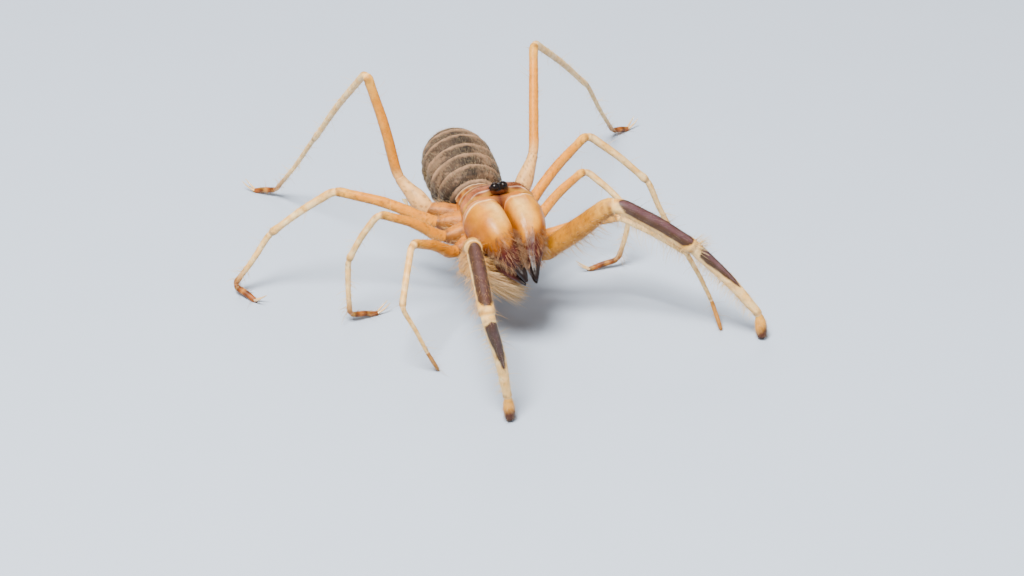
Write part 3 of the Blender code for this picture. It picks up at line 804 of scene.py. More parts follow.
            if n == last - 1 and self.pair in CLAWED:
                tone = mix(tone, TAN, step(0.55, 1.0, u) * 0.75)
            if self.pair == "palp" and n in (1, 2):
                tone = self.palp_stripe(tone, n, u, mm, left, a, blotch)
            out = np.where((index == n)[..., None], tone, out)
        return np.clip(out, 0, 1)

    def palp_stripe(self, tone, n, u, mm, left, a, blotch):
        """Dark stripe on the upper side of the palp, paler along its middle."""
        lean = STRIPE_LEAN[self.name]
        away = np.abs(np.arctan2(np.cos(a + lean), np.sin(a + lean)))
        ragged = 0.05 * blotch
        if n == 1:
            reach = 1.24 * np.sqrt(np.clip(np.minimum(mm - 0.5, left - 0.9) / 1.1, 0, 1))
        else:
            reach = 1.20 * np.clip((0.62 - u) / 0.45, 0, 1) ** 0.6 * step(0.5, 1.1, mm)
        inside = step(0.18, -0.10, away - reach + ragged)
        inside = inside * (reach > 0.05)
        core = step(0.55, 0.15, away / np.maximum(reach, 0.05))
        colour = mix(STRIPE, STRIPE_PALE, core * (0.80 if self.side == "left" else 0.30) + 0.10 * blotch)
        return mix(tone, colour, inside * 0.95)


def union(objects, name):
    """One closed mesh from several overlapping closed ones."""
    base = objects[0]
    group = bpy.data.collections.new(name + "_parts")
    bpy.context.scene.collection.children.link(group)
    for obj in objects[1:]:
        bpy.context.collection.objects.unlink(obj)
        group.objects.link(obj)
    modifier = base.modifiers.new("join", "BOOLEAN")
    modifier.operation = "UNION"
    modifier.operand_type = "COLLECTION"
    modifier.collection = group
    modifier.solver = "MANIFOLD"
    graph = bpy.context.evaluated_depsgraph_get()
    mesh = bpy.data.meshes.new_from_object(base.evaluated_get(graph))
    base.modifiers.clear()
    for obj in objects[1:]:
        data = obj.data
        bpy.data.objects.remove(obj)
        bpy.data.meshes.remove(data)
    bpy.data.collections.remove(group)
    old = base.data
    base.data = mesh
    bpy.data.meshes.remove(old)
    base.name = name
    mesh.name = name
    return base


# Soft body by place along it, as in the solids: height of the middle, half width, half height
# above and below the middle, and how square the upper half is.
BODY = {
    "middle": ((-3.6, 15.2), (-2.2, 15.0), (0.0, 14.6), (2.5, 14.1), (6.1, 13.6)),
    "wide": ((-3.6, 4.85), (-2.4, 4.80), (-1.2, 4.50), (0.0, 4.05), (2.5, 3.65), (6.1, 3.4)),
    "high": ((-3.6, 5.40), (-2.4, 5.95), (-1.2, 5.70), (0.0, 4.90), (2.5, 3.95), (6.1, 3.3)),
    "deep": ((-3.6, 4.85), (-2.2, 4.8), (0.0, 4.5), (2.5, 4.0), (6.1, 3.3)),
    "square": ((-3.6, 4.6), (-2.4, 4.6), (-1.2, 3.6), (0.0, 2.5), (2.5, 2.1), (6.1, 2.0)),
}


def power_of(x, power):
    """A signed power, for rings between an ellipse and a rounded square."""
    return np.sign(x) * np.abs(x) ** power


def ring_shape(y, b):
    """Sideways and upward share of a body ring at angle b."""
    power = np.where(np.sin(b) > 0, 2 / knots(BODY["square"], y), 1.0)
    return power_of(np.cos(b), power), power_of(np.sin(b), power)


def top_plane(y):
    """Height of the seam between back plates and coxae."""
    return 16.6 - (y + 3.6) * 0.20


def core_body():
    """Soft body under the plates: a rounded barrel with folds between the limb roots."""
    yy, aa = turned(np.linspace(-5.25, 6.6, 90), 72)
    middle = knots(BODY["middle"], yy)
    wide = knots(BODY["wide"], yy) * 0.955
    high = np.where(np.sin(aa) > 0, knots(BODY["high"], yy) * 0.945, knots(BODY["deep"], yy) * 0.96)
    front = np.clip((-2.6 - yy) / 2.7, 0, 1) ** 3
    back = np.clip((yy - 4.6) / 2.05, 0, 1) ** 3
    end = np.sqrt(np.clip(1 - front - back, 0.02, 1))
    fold = 1 - 0.030 * np.cos(yy * 2.1) ** 2 * step(0.35, -0.4, np.sin(aa))
    across, upward = ring_shape(yy, aa)
    rings = np.stack([wide * end * fold * across, yy, middle + high * end * fold * upward], axis=-1)
    return outward(new_object("core", closed_sweep(rings), STRAW, MATS["skin"]))


def beak_body():
    """Rostrum between the palps, under the jaws."""
    tt, aa = turned(np.linspace(0, 1, 30), 28)
    r = 1.15 - 0.75 * tt ** 1.3
    end = np.sqrt(np.clip((1.02 - tt) / 0.10, 0.03, 1))
    x = r * end * np.cos(aa)
    y = -3.0 - 4.6 * tt
    z = 12.6 - 0.05 * 4.6 * tt + r * end * 0.9 * np.sin(aa)
    return outward(new_object("beak", closed_sweep(np.stack([x, y, z], axis=-1)), STRAW, MATS["skin"]))


LIMBS = [Limb(side, pair) for side in SIDES for pair in PAIRS]


def limb_sweep(limb):
    """Closed skin of one limb from its root inside the body to the toe, its points and its tones."""
    ss, aa = turned(limb.stations(), PALP_SIDES if limb.pair == "palp" else LEG_SIDES)
    shape = closed_sweep(limb.skin(ss, aa)[0])
    tone = capped(limb.tone(ss, aa))
    return outward(new_object(limb.name, shape, tone, MATS["skin"])), shape[0], tone


def body_tone(co):
    """Ochre soft body with brown patches at random, painted shade on its low sides, and a front between
    the jaws that is ochre with painted shade in its middle.
    """
    front = step(15.5, 17.5, co[:, 2]) * step(-3.0, -3.7, co[:, 1])
    return layers(
        mix(OCHRE, ORANGE, 0.35 + 0.35 * ripple_at(co, 0.5, 33)),
        (BODY_BROWN, 0.7 * step(0.10, 0.8, ripple_at(co, 0.9, 34))),
        # Painted shade on the low sides of the body.
        (SHADOW, 0.75 * step(14.2, 12.6, co[:, 2])),
        (FRONT_OCHRE, 0.8 * front),
        # Painted shade in the middle of the front, deep in the notch between the jaws.
        (FRONT_SHADE, front * step(1.5, 0.5, np.abs(co[:, 0]))),
    )


# Distance from a limb's own skin at which its markings start to give way to the body's, and the
# width of that change, in mm.
BLEND_START = 0.05
BLEND_WIDE = 0.25


def flesh():
    """One skin for the limbs, their roots, the beak and the soft body."""
    sweeps = [limb_sweep(limb) for limb in LIMBS]
    skin = union([core_body(), beak_body()] + [row[0] for row in sweeps], "flesh")
    places = np.concatenate([row[1] for row in sweeps])
    tones = np.concatenate([row[2] for row in sweeps])
    count = len(skin.data.vertices)
    co = np.empty(count * 3, np.float32)
    skin.data.vertices.foreach_get("co", co)
    co = co.reshape(-1, 3) / MM - np.array(SHIFT)
    tree = kdtree.KDTree(len(places))
    for i, p in enumerate(places):
        tree.insert(p, i)
    tree.balance()
    body = body_tone(co)
    tone = np.empty((count, 3))
    for i, p in enumerate(co):
        _, index, gap = tree.find(p)
        near = min(max((gap - BLEND_START) / BLEND_WIDE, 0.0), 1.0)
        tone[i] = tones[index] * (1 - near) + body[i] * near
    if "tone" in skin.data.color_attributes:
        skin.data.color_attributes.remove(skin.data.color_attributes["tone"])
    paint(skin.data, tone)
    skin.data.polygons.foreach_set("use_smooth", np.ones(len(skin.data.polygons), dtype=bool))
    nodes = ["coxae"]
    for limb in LIMBS:
        nodes += [limb.name + "_" + limb.part(i) for i in range(limb.count)]
    finish_piece(skin, nodes)


# Back plates.
def plate_point(y, b, scale, rise):
    """Point over the body at y and angle b, with outward offset."""
    middle = knots(BODY["middle"], y)
    wide = knots(BODY["wide"], y) * scale + rise
    high = knots(BODY["high"], y) * scale + rise
    across, upward = ring_shape(y, b)
    return np.stack([wide * across, y, middle + high * upward], axis=-1)


def seam_angle(y, scale):
    """Angle at which a plate's ring meets the seam height."""
    middle = knots(BODY["middle"], y)
    high = knots(BODY["high"], y) * scale
    power = 2 / knots(BODY["square"], y)
    ratio = np.clip((top_plane(y) + 0.15 - middle) / high, -0.98, 0.98)
    return np.arcsin(power_of(ratio, 1 / power))


def rim_line(x):
    """Place of the raised front rim, slightly wavy across the plate."""
    return -3.20 + 0.07 * np.cos(2.3 * x) - 0.04 * np.abs(x) * step(3.0, 4.5, np.abs(x))


def over_plate(y, b):
    """Place across the body and height of the plain plate at y and angle b."""
    across, upward = ring_shape(y, b)
    return knots(BODY["wide"], y) * across, knots(BODY["middle"], y) + knots(BODY["high"], y) * upward


def head_rise(y, b):
    """Relief of the head plate: eye mound, corner lobes, rim, groove and folds."""
    x, z = over_plate(y, b)
    mound = 0.30 * np.exp(-(x / 1.9) ** 4 - ((y + 3.15) / 0.80) ** 2)
    corner = ((np.abs(x) - 4.7) / 0.8) ** 2 + ((y + 2.8) / 0.9) ** 2 + ((z - 18.4) / 1.0) ** 2
    lobe = 0.55 * np.exp(-corner)
    line = rim_line(x)
    rim = 0.11 * hump(y, line, 0.11) + 0.09 * hump(y, 1.75, 0.16)
    fall = -0.80 * np.clip((line - 0.05 - y) / 0.40, 0, 1) ** 2 * (1 - 0.75 * np.exp(-(x / 1.3) ** 4))
    groove = -0.16 * hump(x, 0, 0.22) * step(-2.4, -1.2, y)
    fold = -0.10 * hump(y + 0.03 * x * x, -0.2, 0.20) - 0.08 * hump(y + 0.05 * x * x, 1.1, 0.14)
    dome = 0.10 * np.exp(-((np.abs(x) - 2.2) / 1.2) ** 2 - ((y + 1.4) / 1.1) ** 2)
    return mound + lobe + rim + fall + groove + fold + dome


def head_tone(y, b):
    """Pinkish tan plate with a pale rim, brown lobes, dark sides of the mound, painted shade over its left
    half and painted shade in the middle of its front face.
    """
    x, z = over_plate(y, b)
    blotch = ripple(x, y, z, 0.45, 3)
    line = hump(y, rim_line(x), 0.075) * step(1.0, 1.5, np.abs(x)) * step(4.4, 3.6, np.abs(x))
    near = np.exp(-(x / 1.6) ** 4 - ((y + 3.30) / 0.75) ** 4)
    return layers(
        mix(PLATE, PLATE_PINK, 0.30 + 0.5 * blotch),
        (PLATE_DARK, 0.75 * step(-0.1, 0.8, ripple(x, y, z, 0.25, 8))),
        (PLATE_WARM, 0.5 * step(-0.2, 0.7, blotch) * step(0.5, 2.0, np.abs(x))),
        (LOBE, hump(np.abs(x), 4.7, 0.8) * hump(y, -2.8, 1.0)),
        # Painted shade over the animal's left half of the plate.
        (PLATE_DARK, 0.45 * step(0.8, 2.6, x)),
        (STRAW, 0.85 * step(18.2, 17.0, z)),
        (BROW, 0.75 * step(-3.28, -3.45, y)),
        (RIM_PALE, 0.80 * line * (0.75 + 0.35 * blotch)),
        (HIND_RIM, 0.60 * hump(y, 1.80, 0.14)),
        # Painted shade: the middle of the plate's front face, over the notch between the jaws, is
        # darkened.
        (NOTCH_SHADE, 0.9 * hump(x, 0, 0.9) * step(-3.30, -3.50, y)),
        (EYE_RING, 0.85 * near),
    )


def back_plate(name, nodes, ends, swell, rise_of, tone_of, rows, cols, thick):
    """A curved plate over the body, open below, closed at its rim."""
    front, back = ends
    y = np.linspace(front, back, rows)
    scale = knots(swell, y)
    low = seam_angle(y, scale)
    k = np.linspace(0, 1, cols)
    b = low[:, None] + (math.pi - 2 * low[:, None]) * k[None, :]
    yy = np.broadcast_to(y[:, None], b.shape)
    ss = np.broadcast_to(scale[:, None], b.shape)
    rise = rise_of(yy, b)
    top = plate_point(yy, b, ss, rise)
    inner = np.broadcast_to(np.minimum(y - front, back - y)[:, None], b.shape)
    side = np.minimum(k, 1 - k)[None, :] * 12
    depth = thick * (0.35 + 0.65 * step(0.0, 0.5, np.minimum(inner, side)))
    bottom = plate_point(yy, b, ss, rise * 0.3 - depth)
    tone = tone_of(yy, b).reshape(-1, 3)
    # The underside takes the same colours at six tenths: painted shade under the plate.
    piece(name, shell(top, bottom), np.concatenate([tone, tone * 0.6]), "plate", nodes)


def small_rise(front, back):
    """Relief of a narrow plate: raised hind rim and a faint middle groove."""
    def rise(y, b):
        """Rise over the plain plate."""
        x = over_plate(y, b)[0]
        bulge = 0.10 * np.sin(math.pi * (y - front) / (back - front))
        return bulge + 0.10 * hump(y, back - 0.12, 0.13) - 0.08 * hump(x, 0, 0.25)
    return rise


def small_tone(back):
    """Tan narrow plate with brown middle and pale hind rim."""
    def tone(y, b):
        """Colour at y and angle b."""
        x = over_plate(y, b)[0]
        blotch = ripple(x, y, b * 3, 0.5, 14)
        out = mix(PLATE, STRAW, 0.35 + 0.4 * blotch)
        out = mix(out, PLATE_DARK, 0.6 * hump(x, 0, 1.6) * step(-0.4, 0.4, blotch + 0.3))
        return mix(out, NARROW_RIM, 0.8 * hump(y, back - 0.10, 0.14))
    return tone


# Ends of the head plate, how far it swells over the body, and the narrow plates' three places.
HEAD_ENDS = (-3.62, 1.9)
HEAD_SWELL = ((-3.6, 0.985), (-3.2, 1.0), (0.6, 1.0), (1.9, 0.97))
SMALL_PLATES = (("second", 2.2, 3.0, 3.9), ("third", 4.2, 5.0, 6.0))


def plates():
    """The head plate and the two narrow plates behind it."""
    back_plate("head_plate", ["head_shield"], HEAD_ENDS, HEAD_SWELL, head_rise, head_tone,
               110, 150, 0.8)
    for name, front, middle, back in SMALL_PLATES:
        swell = ((front, 0.94), (middle, 0.99), (back, 0.95))
        back_plate(name + "_plate", [name + "_shield"], (front, back), swell,
                   small_rise(front, back), small_tone(back), 40, 120, 0.6)


# Half distance between the eyes' middles, and their size.
EYE_APART = 0.62
EYE_SIZE = 0.60


def eyes():
    """Two glassy lenses side by side, each drawn out towards its own side."""
    la, aa = turned(latitudes(40), 48)
    for side, x in (("left", 1), ("right", -1)):
        middle = EYE_APART * x
        px = middle + EYE_SIZE * (1 + 0.05 * np.cos(aa) * x) * np.cos(la) * np.cos(aa)
        py = EYE_MIDDLE.y + EYE_SIZE * np.cos(la) * np.sin(aa)
        pz = EYE_MIDDLE.z + EYE_SIZE * np.sin(la) * (1 - 0.04 * np.cos(aa) * x)
        tips = np.array([[middle, EYE_MIDDLE.y, EYE_MIDDLE.z + rise] for rise in (-EYE_SIZE, EYE_SIZE)])
        shape = closed_sweep(np.stack([px, py, pz], axis=-1), tips)
        piece(side + "_eye_lens", shape, BLACKISH, "eye", [side + "_eye"])


# Half sizes of the mound and its middle, mm.
MOUND_WIDE = 1.34
MOUND_DEEP = 0.62
MOUND_HIGH = 0.78
MOUND_Y = -3.38
MOUND_Z = 21.00


def eye_mound():
    """Dark wrinkled mound that seats the two eyes on the front of the head plate."""
    la, aa = turned(latitudes(44), 72)
    px = MOUND_WIDE * power_of(np.cos(la), 0.8) * power_of(np.cos(aa), 0.8)
    slope = np.where(np.sin(aa) > 0, 2.0 - 0.8 * np.sin(la), 1.0)
    py = MOUND_DEEP * np.cos(la) * np.sin(aa) * slope
    pz = MOUND_HIGH * np.sin(la)
    low = ripple(px, py, pz, 1.1, 15)
    size = 1 + 0.05 * low + 0.025 * ripple(px, py, pz, 3.0, 16)
    cup = 0.10 * hump(np.abs(px), EYE_APART, 0.35) * step(0.0, 0.6, np.sin(la))
    points = np.stack([px * size, py * size + MOUND_Y, pz * (size - cup) + MOUND_Z], axis=-1)
    tips = np.array([[0, MOUND_Y, MOUND_Z - MOUND_HIGH], [0, MOUND_Y, MOUND_Z + MOUND_HIGH - 0.02]])
    tone = mix(MOUND_BROWN, EYE_BLACK, step(-0.12, 0.16, pz + 0.06 * low))
    piece("eye_mound", closed_sweep(points, tips), capped(tone), "plate")


# Jaw stations on the left: y, z, x, half width, half height.
JAW = (
    (-3.95, 17.00, 2.85, 2.58, 2.95),
    (-5.00, 17.10, 2.88, 2.62, 3.25),
    (-6.60, 17.00, 2.78, 2.58, 3.28),
    (-8.20, 16.60, 2.55, 2.34, 3.00),
    (-9.70, 16.00, 2.18, 1.98, 2.42),
    (-10.9, 15.50, 1.90, 1.64, 1.80),
    (-12.0, 14.90, 1.56, 1.24, 1.18),
    (-13.2, 14.15, 1.18, 0.82, 0.72),
    (-14.2, 13.45, 0.90, 0.56, 0.50),
    (-15.0, 12.75, 0.74, 0.20, 0.20),
)
LOWER = (
    (-9.60, 12.70, 2.10, 0.85, 0.62),
    (-10.5, 12.68, 1.95, 0.95, 0.76),
    (-11.6, 12.48, 1.65, 0.72, 0.60),
    (-12.8, 12.36, 1.32, 0.52, 0.46),
    (-13.9, 12.30, 1.02, 0.38, 0.34),
    (-14.8, 12.22, 0.82, 0.15, 0.15),
)


# The faces of the jaws that look at each other are flatter: under 1 is squarer.
MEDIAL = 0.48


def sway(y):
    """How far the jaws lean to the animal's left at a place along them."""
    return 0.06 * (-6.0 - y)


class Jaw:
    """A smooth body through a table of stations, on one side."""

    def __init__(self, table, x_sign, rows, sides):
        """Points, normals and places of the body's grid."""
        table = np.array(table)
        u = np.linspace(0, len(table) - 1, rows)
        i = np.minimum(u.astype(int), len(table) - 2)
        t = (u - i)[:, None]
        p0 = table[np.maximum(i - 1, 0)]
        p1 = table[i]
        p2 = table[i + 1]
        p3 = table[np.minimum(i + 2, len(table) - 1)]
        value = 0.5 * (2 * p1 + (p2 - p0) * t + (2 * p0 - 5 * p1 + 4 * p2 - p3) * t * t
                       + (3 * p1 - p0 - 3 * p2 + p3) * t ** 3)
        centre = np.stack([value[:, 2] * x_sign + sway(value[:, 0]), value[:, 0], value[:, 1]], axis=-1)
        tangent = unit(np.gradient(centre, axis=0))
        tangent[0] = (0, -1, 0)
        up = unit(np.array([0, 0, 1.0]) - tangent * tangent[:, 2:3])
        right = np.cross(tangent, up)
        a = around(sides)
        c = np.cos(a)[None, :, None]
        n = np.sin(a)[None, :, None]
        wide = value[:, 3][:, None, None]
        high = value[:, 4][:, None, None]
        inner = (right[:, None, 0:1] * c * x_sign) < 0
        self.outside = np.sign(right[:, 0:1]) * x_sign
        power = np.where(inner, MEDIAL, 1.0)
        across = power_of(c, power) * wide * np.where(inner, 0.97, 1.0)
        upward = power_of(n, power) * high * np.where(inner, 0.98, 1.0)
        self.points = centre[:, None] + right[:, None] * across + up[:, None] * upward
        along = np.gradient(self.points, axis=0)
        across = np.roll(self.points, -1, axis=1) - np.roll(self.points, 1, axis=1)
        facing = unit(np.cross(across, along))
        out = self.points - centre[:, None]
        self.normals = facing * np.sign(np.sum(facing * out, axis=-1, keepdims=True))
        self.tangent = np.broadcast_to(tangent[:, None], self.points.shape)
        self.angle = np.broadcast_to(a[None, :], self.points.shape[:2])
        self.y = np.broadcast_to(value[:, 0][:, None], self.points.shape[:2])

    def swell(self, amount):
        """Move the points along their normals."""
        self.points = self.points + self.normals * amount[..., None]


def cone_field(root, way, length, wide, curl, rows=14, sides=16, tip=0.05):
    """Points and faces of one curved horn."""
    t = np.linspace(0, 1, rows)
    centre = root + way * (length * t)[:, None] + curl * (length * t ** 2)[:, None]
    tangent = unit(np.gradient(centre, axis=0))
    ref = np.array([0.3, 0.9, 0.2])
    side = unit(np.cross(tangent, ref))
    other = np.cross(tangent, side)
    a = around(sides)
    r = (wide * (1 - t) ** 0.8 + tip * t)[:, None, None]
    rings = centre[:, None] + r * (side[:, None] * np.cos(a)[None, :, None]
                                   + other[:, None] * np.sin(a)[None, :, None])
    tips = np.array([centre[0], centre[-1] + tangent[-1] * tip * 1.2])
    return closed_sweep(rings, tips)


def join_fields(fields):
    """Several (points, faces) in one: all four-sided faces first, then the triangles."""
    verts = []
    faces = {4: [], 3: []}
    offset = 0
    for points, groups in fields:
        verts.append(points)
        for group in groups:
            faces[group.shape[1]].append(group + offset)
        offset += len(points)
    return np.concatenate(verts), [np.concatenate(rows) for rows in faces.values() if rows]


def jaw_tone(jaw):
    """Amber bulb, browner towards the fingers, maroon to black at the tips, with painted light: paler on
    top, a painted highlight along the upper inner side, and painted shade on the outer sides, underneath
    and between the jaws.
    """
    y = jaw.y
    top = np.sin(jaw.angle)
    off_middle = np.abs(jaw.points[..., 0] - sway(y))
    toward_middle = step(2.4, 0.2, off_middle)
    blotch = ripple_at(jaw.points, 0.35, 41)
    # Painted shade on the side of each bulb that faces away from the other jaw.
    outer = step(0.45, 1.0, np.cos(jaw.angle) * jaw.outside)
    # Painted highlight: a pale band along the upper inner side of each bulb, over its middle part.
    highlight_band = hump(off_middle, 1.8, 1.1) * step(0.2, 0.8, top)
    along = y + 0.6 * blotch - 1.1 * step(0.3, -0.8, top)
    olive = step(0.15, 0.75, ripple_at(jaw.points, 0.7, 47))
    return layers(
        # The tone pales towards the top: painted light, over pale and dark blotches at random.
        mix(AMBER, AMBER_PALE, 0.30 + 0.35 * top + 0.30 * blotch),
        (JAW_SIDE_SHADE, 0.55 * outer),
        (JAW_HIGHLIGHT, 0.50 * highlight_band * step(-9.5, -7.5, y) * step(-4.8, -6.2, y)),
        (JAW_SHADE, 0.60 * step(0.35, -0.6, top)),
        (JAW_SHADE, 0.70 * toward_middle ** 2 * step(0.6, -0.2, top)),
        (JAW_FLECK, 0.30 * step(0.3, 1.0, ripple_at(jaw.points, 1.1, 43))),
        (AMBER_DEEP, step(-9.0, -10.2, along) * 0.55),
        (RUST, step(-9.9, -11.2, along) * 0.9),
        (MAROON, step(-10.7, -11.9, along)),
        (BLACKISH, step(-12.0, -13.8, y)),
        (OLIVE, 0.75 * olive * hump(y, -10.2, 1.1) * step(0.5, -0.3, top)),
        (COLLAR, 0.85 * step(-4.75, -4.25, y)),
        (COLLAR_RIM, 0.8 * hump(y, -4.85, 0.13) * step(0.0, 0.5, top)),
        (JAW_ROOT, 0.8 * step(-6.4, -4.4, y) * toward_middle ** 3),
    )


# Rows of teeth: y, z and length of each, the first one's x and how fast the row nears the middle,
# the way they point, how deep they start, and their half width, all in mm.
TEETH = (
    (((-11.3, 14.60, 0.62), (-11.75, 14.55, 0.40), (-12.2, 14.35, 0.70), (-13.0, 13.90, 0.55),
      (-13.4, 13.65, 0.34), (-13.8, 13.40, 0.42)), 1.72, 0.28, (0, -0.15, -1.0), 0.15, 0.27),
    (((-11.75, 12.80, 0.62), (-12.2, 12.70, 0.38), (-12.65, 12.60, 0.55), (-13.4, 12.45, 0.42)),
     1.62, 0.30, (0, -0.1, 1.0), 0.10, 0.24),
)
JAWS = []


def teeth(sign):
    """Both rows of teeth on one side."""
    fields = []
    for row, first_x, slope, way, sink, wide in TEETH:
        for y, z, size in row:
            x = sign * (first_x - slope * (row[0][0] - y)) + sway(y)
            fields.append(cone_field(np.array([x, y, z - way[2] * sink]), np.array(way), size + sink, wide,
                                     np.array([0, -0.12, 0])))
    return join_fields(fields)


def jaws():
    """Two big jaws with ridged bulbs, toothed upper fingers and free lower fingers."""
    for side, sign in (("left", 1), ("right", -1)):
        jaw = Jaw(JAW, sign, 190, 72)
        y = jaw.y
        p = jaw.points
        keel = 0.10 * hump(np.abs(p[..., 0] - sway(y)), 1.55, 0.45)
        keel = keel * step(0.35, 0.8, np.sin(jaw.angle)) * step(-10.6, -8.5, y)
        dent = -0.16 * hump(y, -10.3, 0.7) * step(0.1, 0.9, np.abs(np.cos(jaw.angle)))
        wobble = 0.035 * ripple_at(p, 0.28, 51) * step(-12.5, -10.5, y)
        fine = 0.012 * ripple_at(p, 1.2, 52)
        collar = -0.10 * step(-4.85, -4.45, y) + 0.04 * hump(y, -4.9, 0.15)
        jaw.swell(keel + dent + wobble + fine + collar)
        piece(side + "_jaw", closed_sweep(jaw.points), capped(jaw_tone(jaw)), "jaw",
              [side + "_chelicera"])
        JAWS.append((side, jaw))
        lower = Jaw(LOWER, sign, 90, 48)
        p = lower.points
        tone = mix(MAROON, RUST, 0.5 * step(-10.8, -9.7, lower.y) + 0.15 * ripple_at(p, 0.5, 62))
        tone = mix(tone, BLACKISH, step(-12.3, -14.0, lower.y))
        lower.swell(0.02 * ripple_at(p, 0.6, 61))
        piece(side + "_lower_finger", closed_sweep(lower.points), capped(tone), "finger",
              [side + "_jaw_finger"])
        piece(side + "_teeth", teeth(sign), mix(MAROON, BLACKISH, 0.5), "finger")


# Abdomen outline: place along it, half width and half height in mm.
ABDOMEN_WIDE = ((0.0, 3.4), (0.09, 4.45), (0.35, 5.1), (0.60, 5.1), (0.80, 4.5), (0.93, 3.1), (1.0, 1.1))
ABDOMEN_HIGH = ((0.0, 3.2), (0.10, 4.1), (0.35, 4.4), (0.60, 4.4), (0.80, 3.85), (0.93, 2.7), (1.0, 0.9))
ABDOMEN_SPAN = (6.4, 23.3)
ABDOMEN_RISE = (13.3, 14.5)
ABDOMEN_SWAY = (0.1, 1.7)
# Where each ring of the abdomen ends, as a share of its length.
BAND_ENDS = (0.0, 0.05, 0.20, 0.355, 0.51, 0.665, 0.80, 0.895, 0.95, 0.98, 1.0)


def abdomen_axis(t):
    """Middle of the abdomen at t along it."""
    return [ends[0] + (ends[1] - ends[0]) * t for ends in (ABDOMEN_SWAY, ABDOMEN_SPAN, ABDOMEN_RISE)]


def abdomen_point(t, a):
    """Point on the abdomen at t along it and angle a, and its colour."""
    ends = np.array(BAND_ENDS)
    ring = np.clip(np.searchsorted(ends, t, side="right") - 1, 0, len(ends) - 2)
    share = ends[ring + 1] - ends[ring]
    span = share * (ABDOMEN_SPAN[1] - ABDOMEN_SPAN[0])
    top = np.sin(a)
    x0, y0, z0 = abdomen_axis(t)
    wide = knots(ABDOMEN_WIDE, t)
    high = knots(ABDOMEN_HIGH, t)
    u = (t - ends[ring]) / share
    mm = u * span
    left = (1 - u) * span
    dorsal = step(0.00, 0.45, top)
    ventral = step(-0.25, -0.60, top)
    side = 1 - dorsal - ventral
    seam = np.minimum(np.exp(-(mm / 0.22) ** 2) + np.exp(-(left / 0.16) ** 2), 1)
    puff = np.sqrt(np.clip(1 - ((u - 0.56) / 0.60) ** 2, 0, 1)) * np.minimum(span / 2.4, 1)
    lift = 0.34 * puff - 0.20 * seam + 0.10 * np.exp(-((left - 0.45) / 0.26) ** 2) * dorsal
    px = x0 + wide * np.cos(a)
    pz = z0 + high * top
    lift = lift + 0.09 * side * ripple(px * 0.35, y0 * 1.4, pz, 0.55, 71)
    lift = lift + 0.05 * ripple(px, y0, pz, 0.40, 77) + 0.025 * ripple(px, y0, pz, 1.1, 72)
    lift = lift - 0.10 * hump(top, 0.12, 0.06) - 0.10 * hump(top, -0.42, 0.07)
    lift = np.clip((lift - 0.10) * step(0.9, 2.4, wide), -0.4, 0.35)
    px = x0 + (wide + lift) * np.cos(a)
    pz = z0 + (high + lift) * top
    point = np.stack([px, y0 + 0 * px, pz], axis=-1)
    mottling = ripple_at(point, 0.45, 73)
    coarse = ripple_at(point, 0.16, 74)
    fleck = ripple_at(point, 1.3, 75)
    patch = hump((px - x0 + 0.25 * coarse) / np.maximum(wide, 0.5), 0, 0.27) ** 0.7 * dorsal
    patch = patch * step(0.10, 0.35, mm) * step(0.55, 0.95, left + 0.2 * mottling)
    pale = step(1.25, 0.35, left + 0.30 * mottling + 0.20 * fleck) * step(0.02, 0.12, left)
    pale = pale * (0.45 + 0.55 * dorsal) * (1 - 0.8 * ventral) * (0.85 + 0.35 * mottling + 0.20 * fleck)
    tone = layers(
        mix(BAND, BAND_DARK, 0.25 + 0.35 * coarse + 0.30 * mottling),
        (BAND_PALE, 0.30 * dorsal * step(-0.2, 0.9, coarse + 0.5 * mottling + 0.4 * fleck)),
        (BAND_DARK, 0.85 * patch),
        (BAND_PALE, 0.70 * np.clip(pale, 0, 1)),
        (FLANK, 0.45 * side * step(0.2, 0.6, t)),
        # Painted shade on the sides of the front part of the hind body, where it meets the body.
        (BAND_DARK, 0.75 * (1 - ventral) * step(0.30, 0.05, t) * step(0.75, 0.35, top)),
        (BELLY, 0.65 * ventral),
        # Painted shade in the grooves between the rings.
        (BAND_DARK, 0.75 * seam),
    )
    return point, np.clip(tone, 0, 1)


def abdomen():
    """Soft hind body of ten bands with raised back plates and creased flanks."""
    points, tone = abdomen_point(*turned(np.linspace(0, 1, 420), 200))
    piece("hind_body", closed_sweep(points), capped(tone), "abdomen", ["abdomen"])


CLAW_LENGTH = 2.2
RACQUET_LENGTH = 2.1


def claws():
    """Paired claws on legs 2 to 4, long, thin at the tip and curving up."""
    fields = []
    for limb in LIMBS:
        if limb.pair not in CLAWED:
            continue
        toe = limb.points[-1]
        ahead = (toe - limb.points[-2]).normalized()
        level = Vector((ahead.x, ahead.y, 0)).normalized()
        across = Vector((-level.y, level.x, 0))
        for hand in (-1, 1):
            start = toe - level * 0.35 + across * (0.12 * hand) + Vector((0, 0, 0.20))
            way = (level + across * (0.34 * hand) + Vector((0, 0, 0.42))).normalized()
            curl = Vector((0, 0, 0.22)) - across * (0.16 * hand)
            fields.append(cone_field(np.array(start), np.array(way), CLAW_LENGTH, 0.19, np.array(curl),
                                     24, 14, 0.03))
    piece("claws", join_fields(fields), mix(CREAM, TAN, 0.35), "claw")


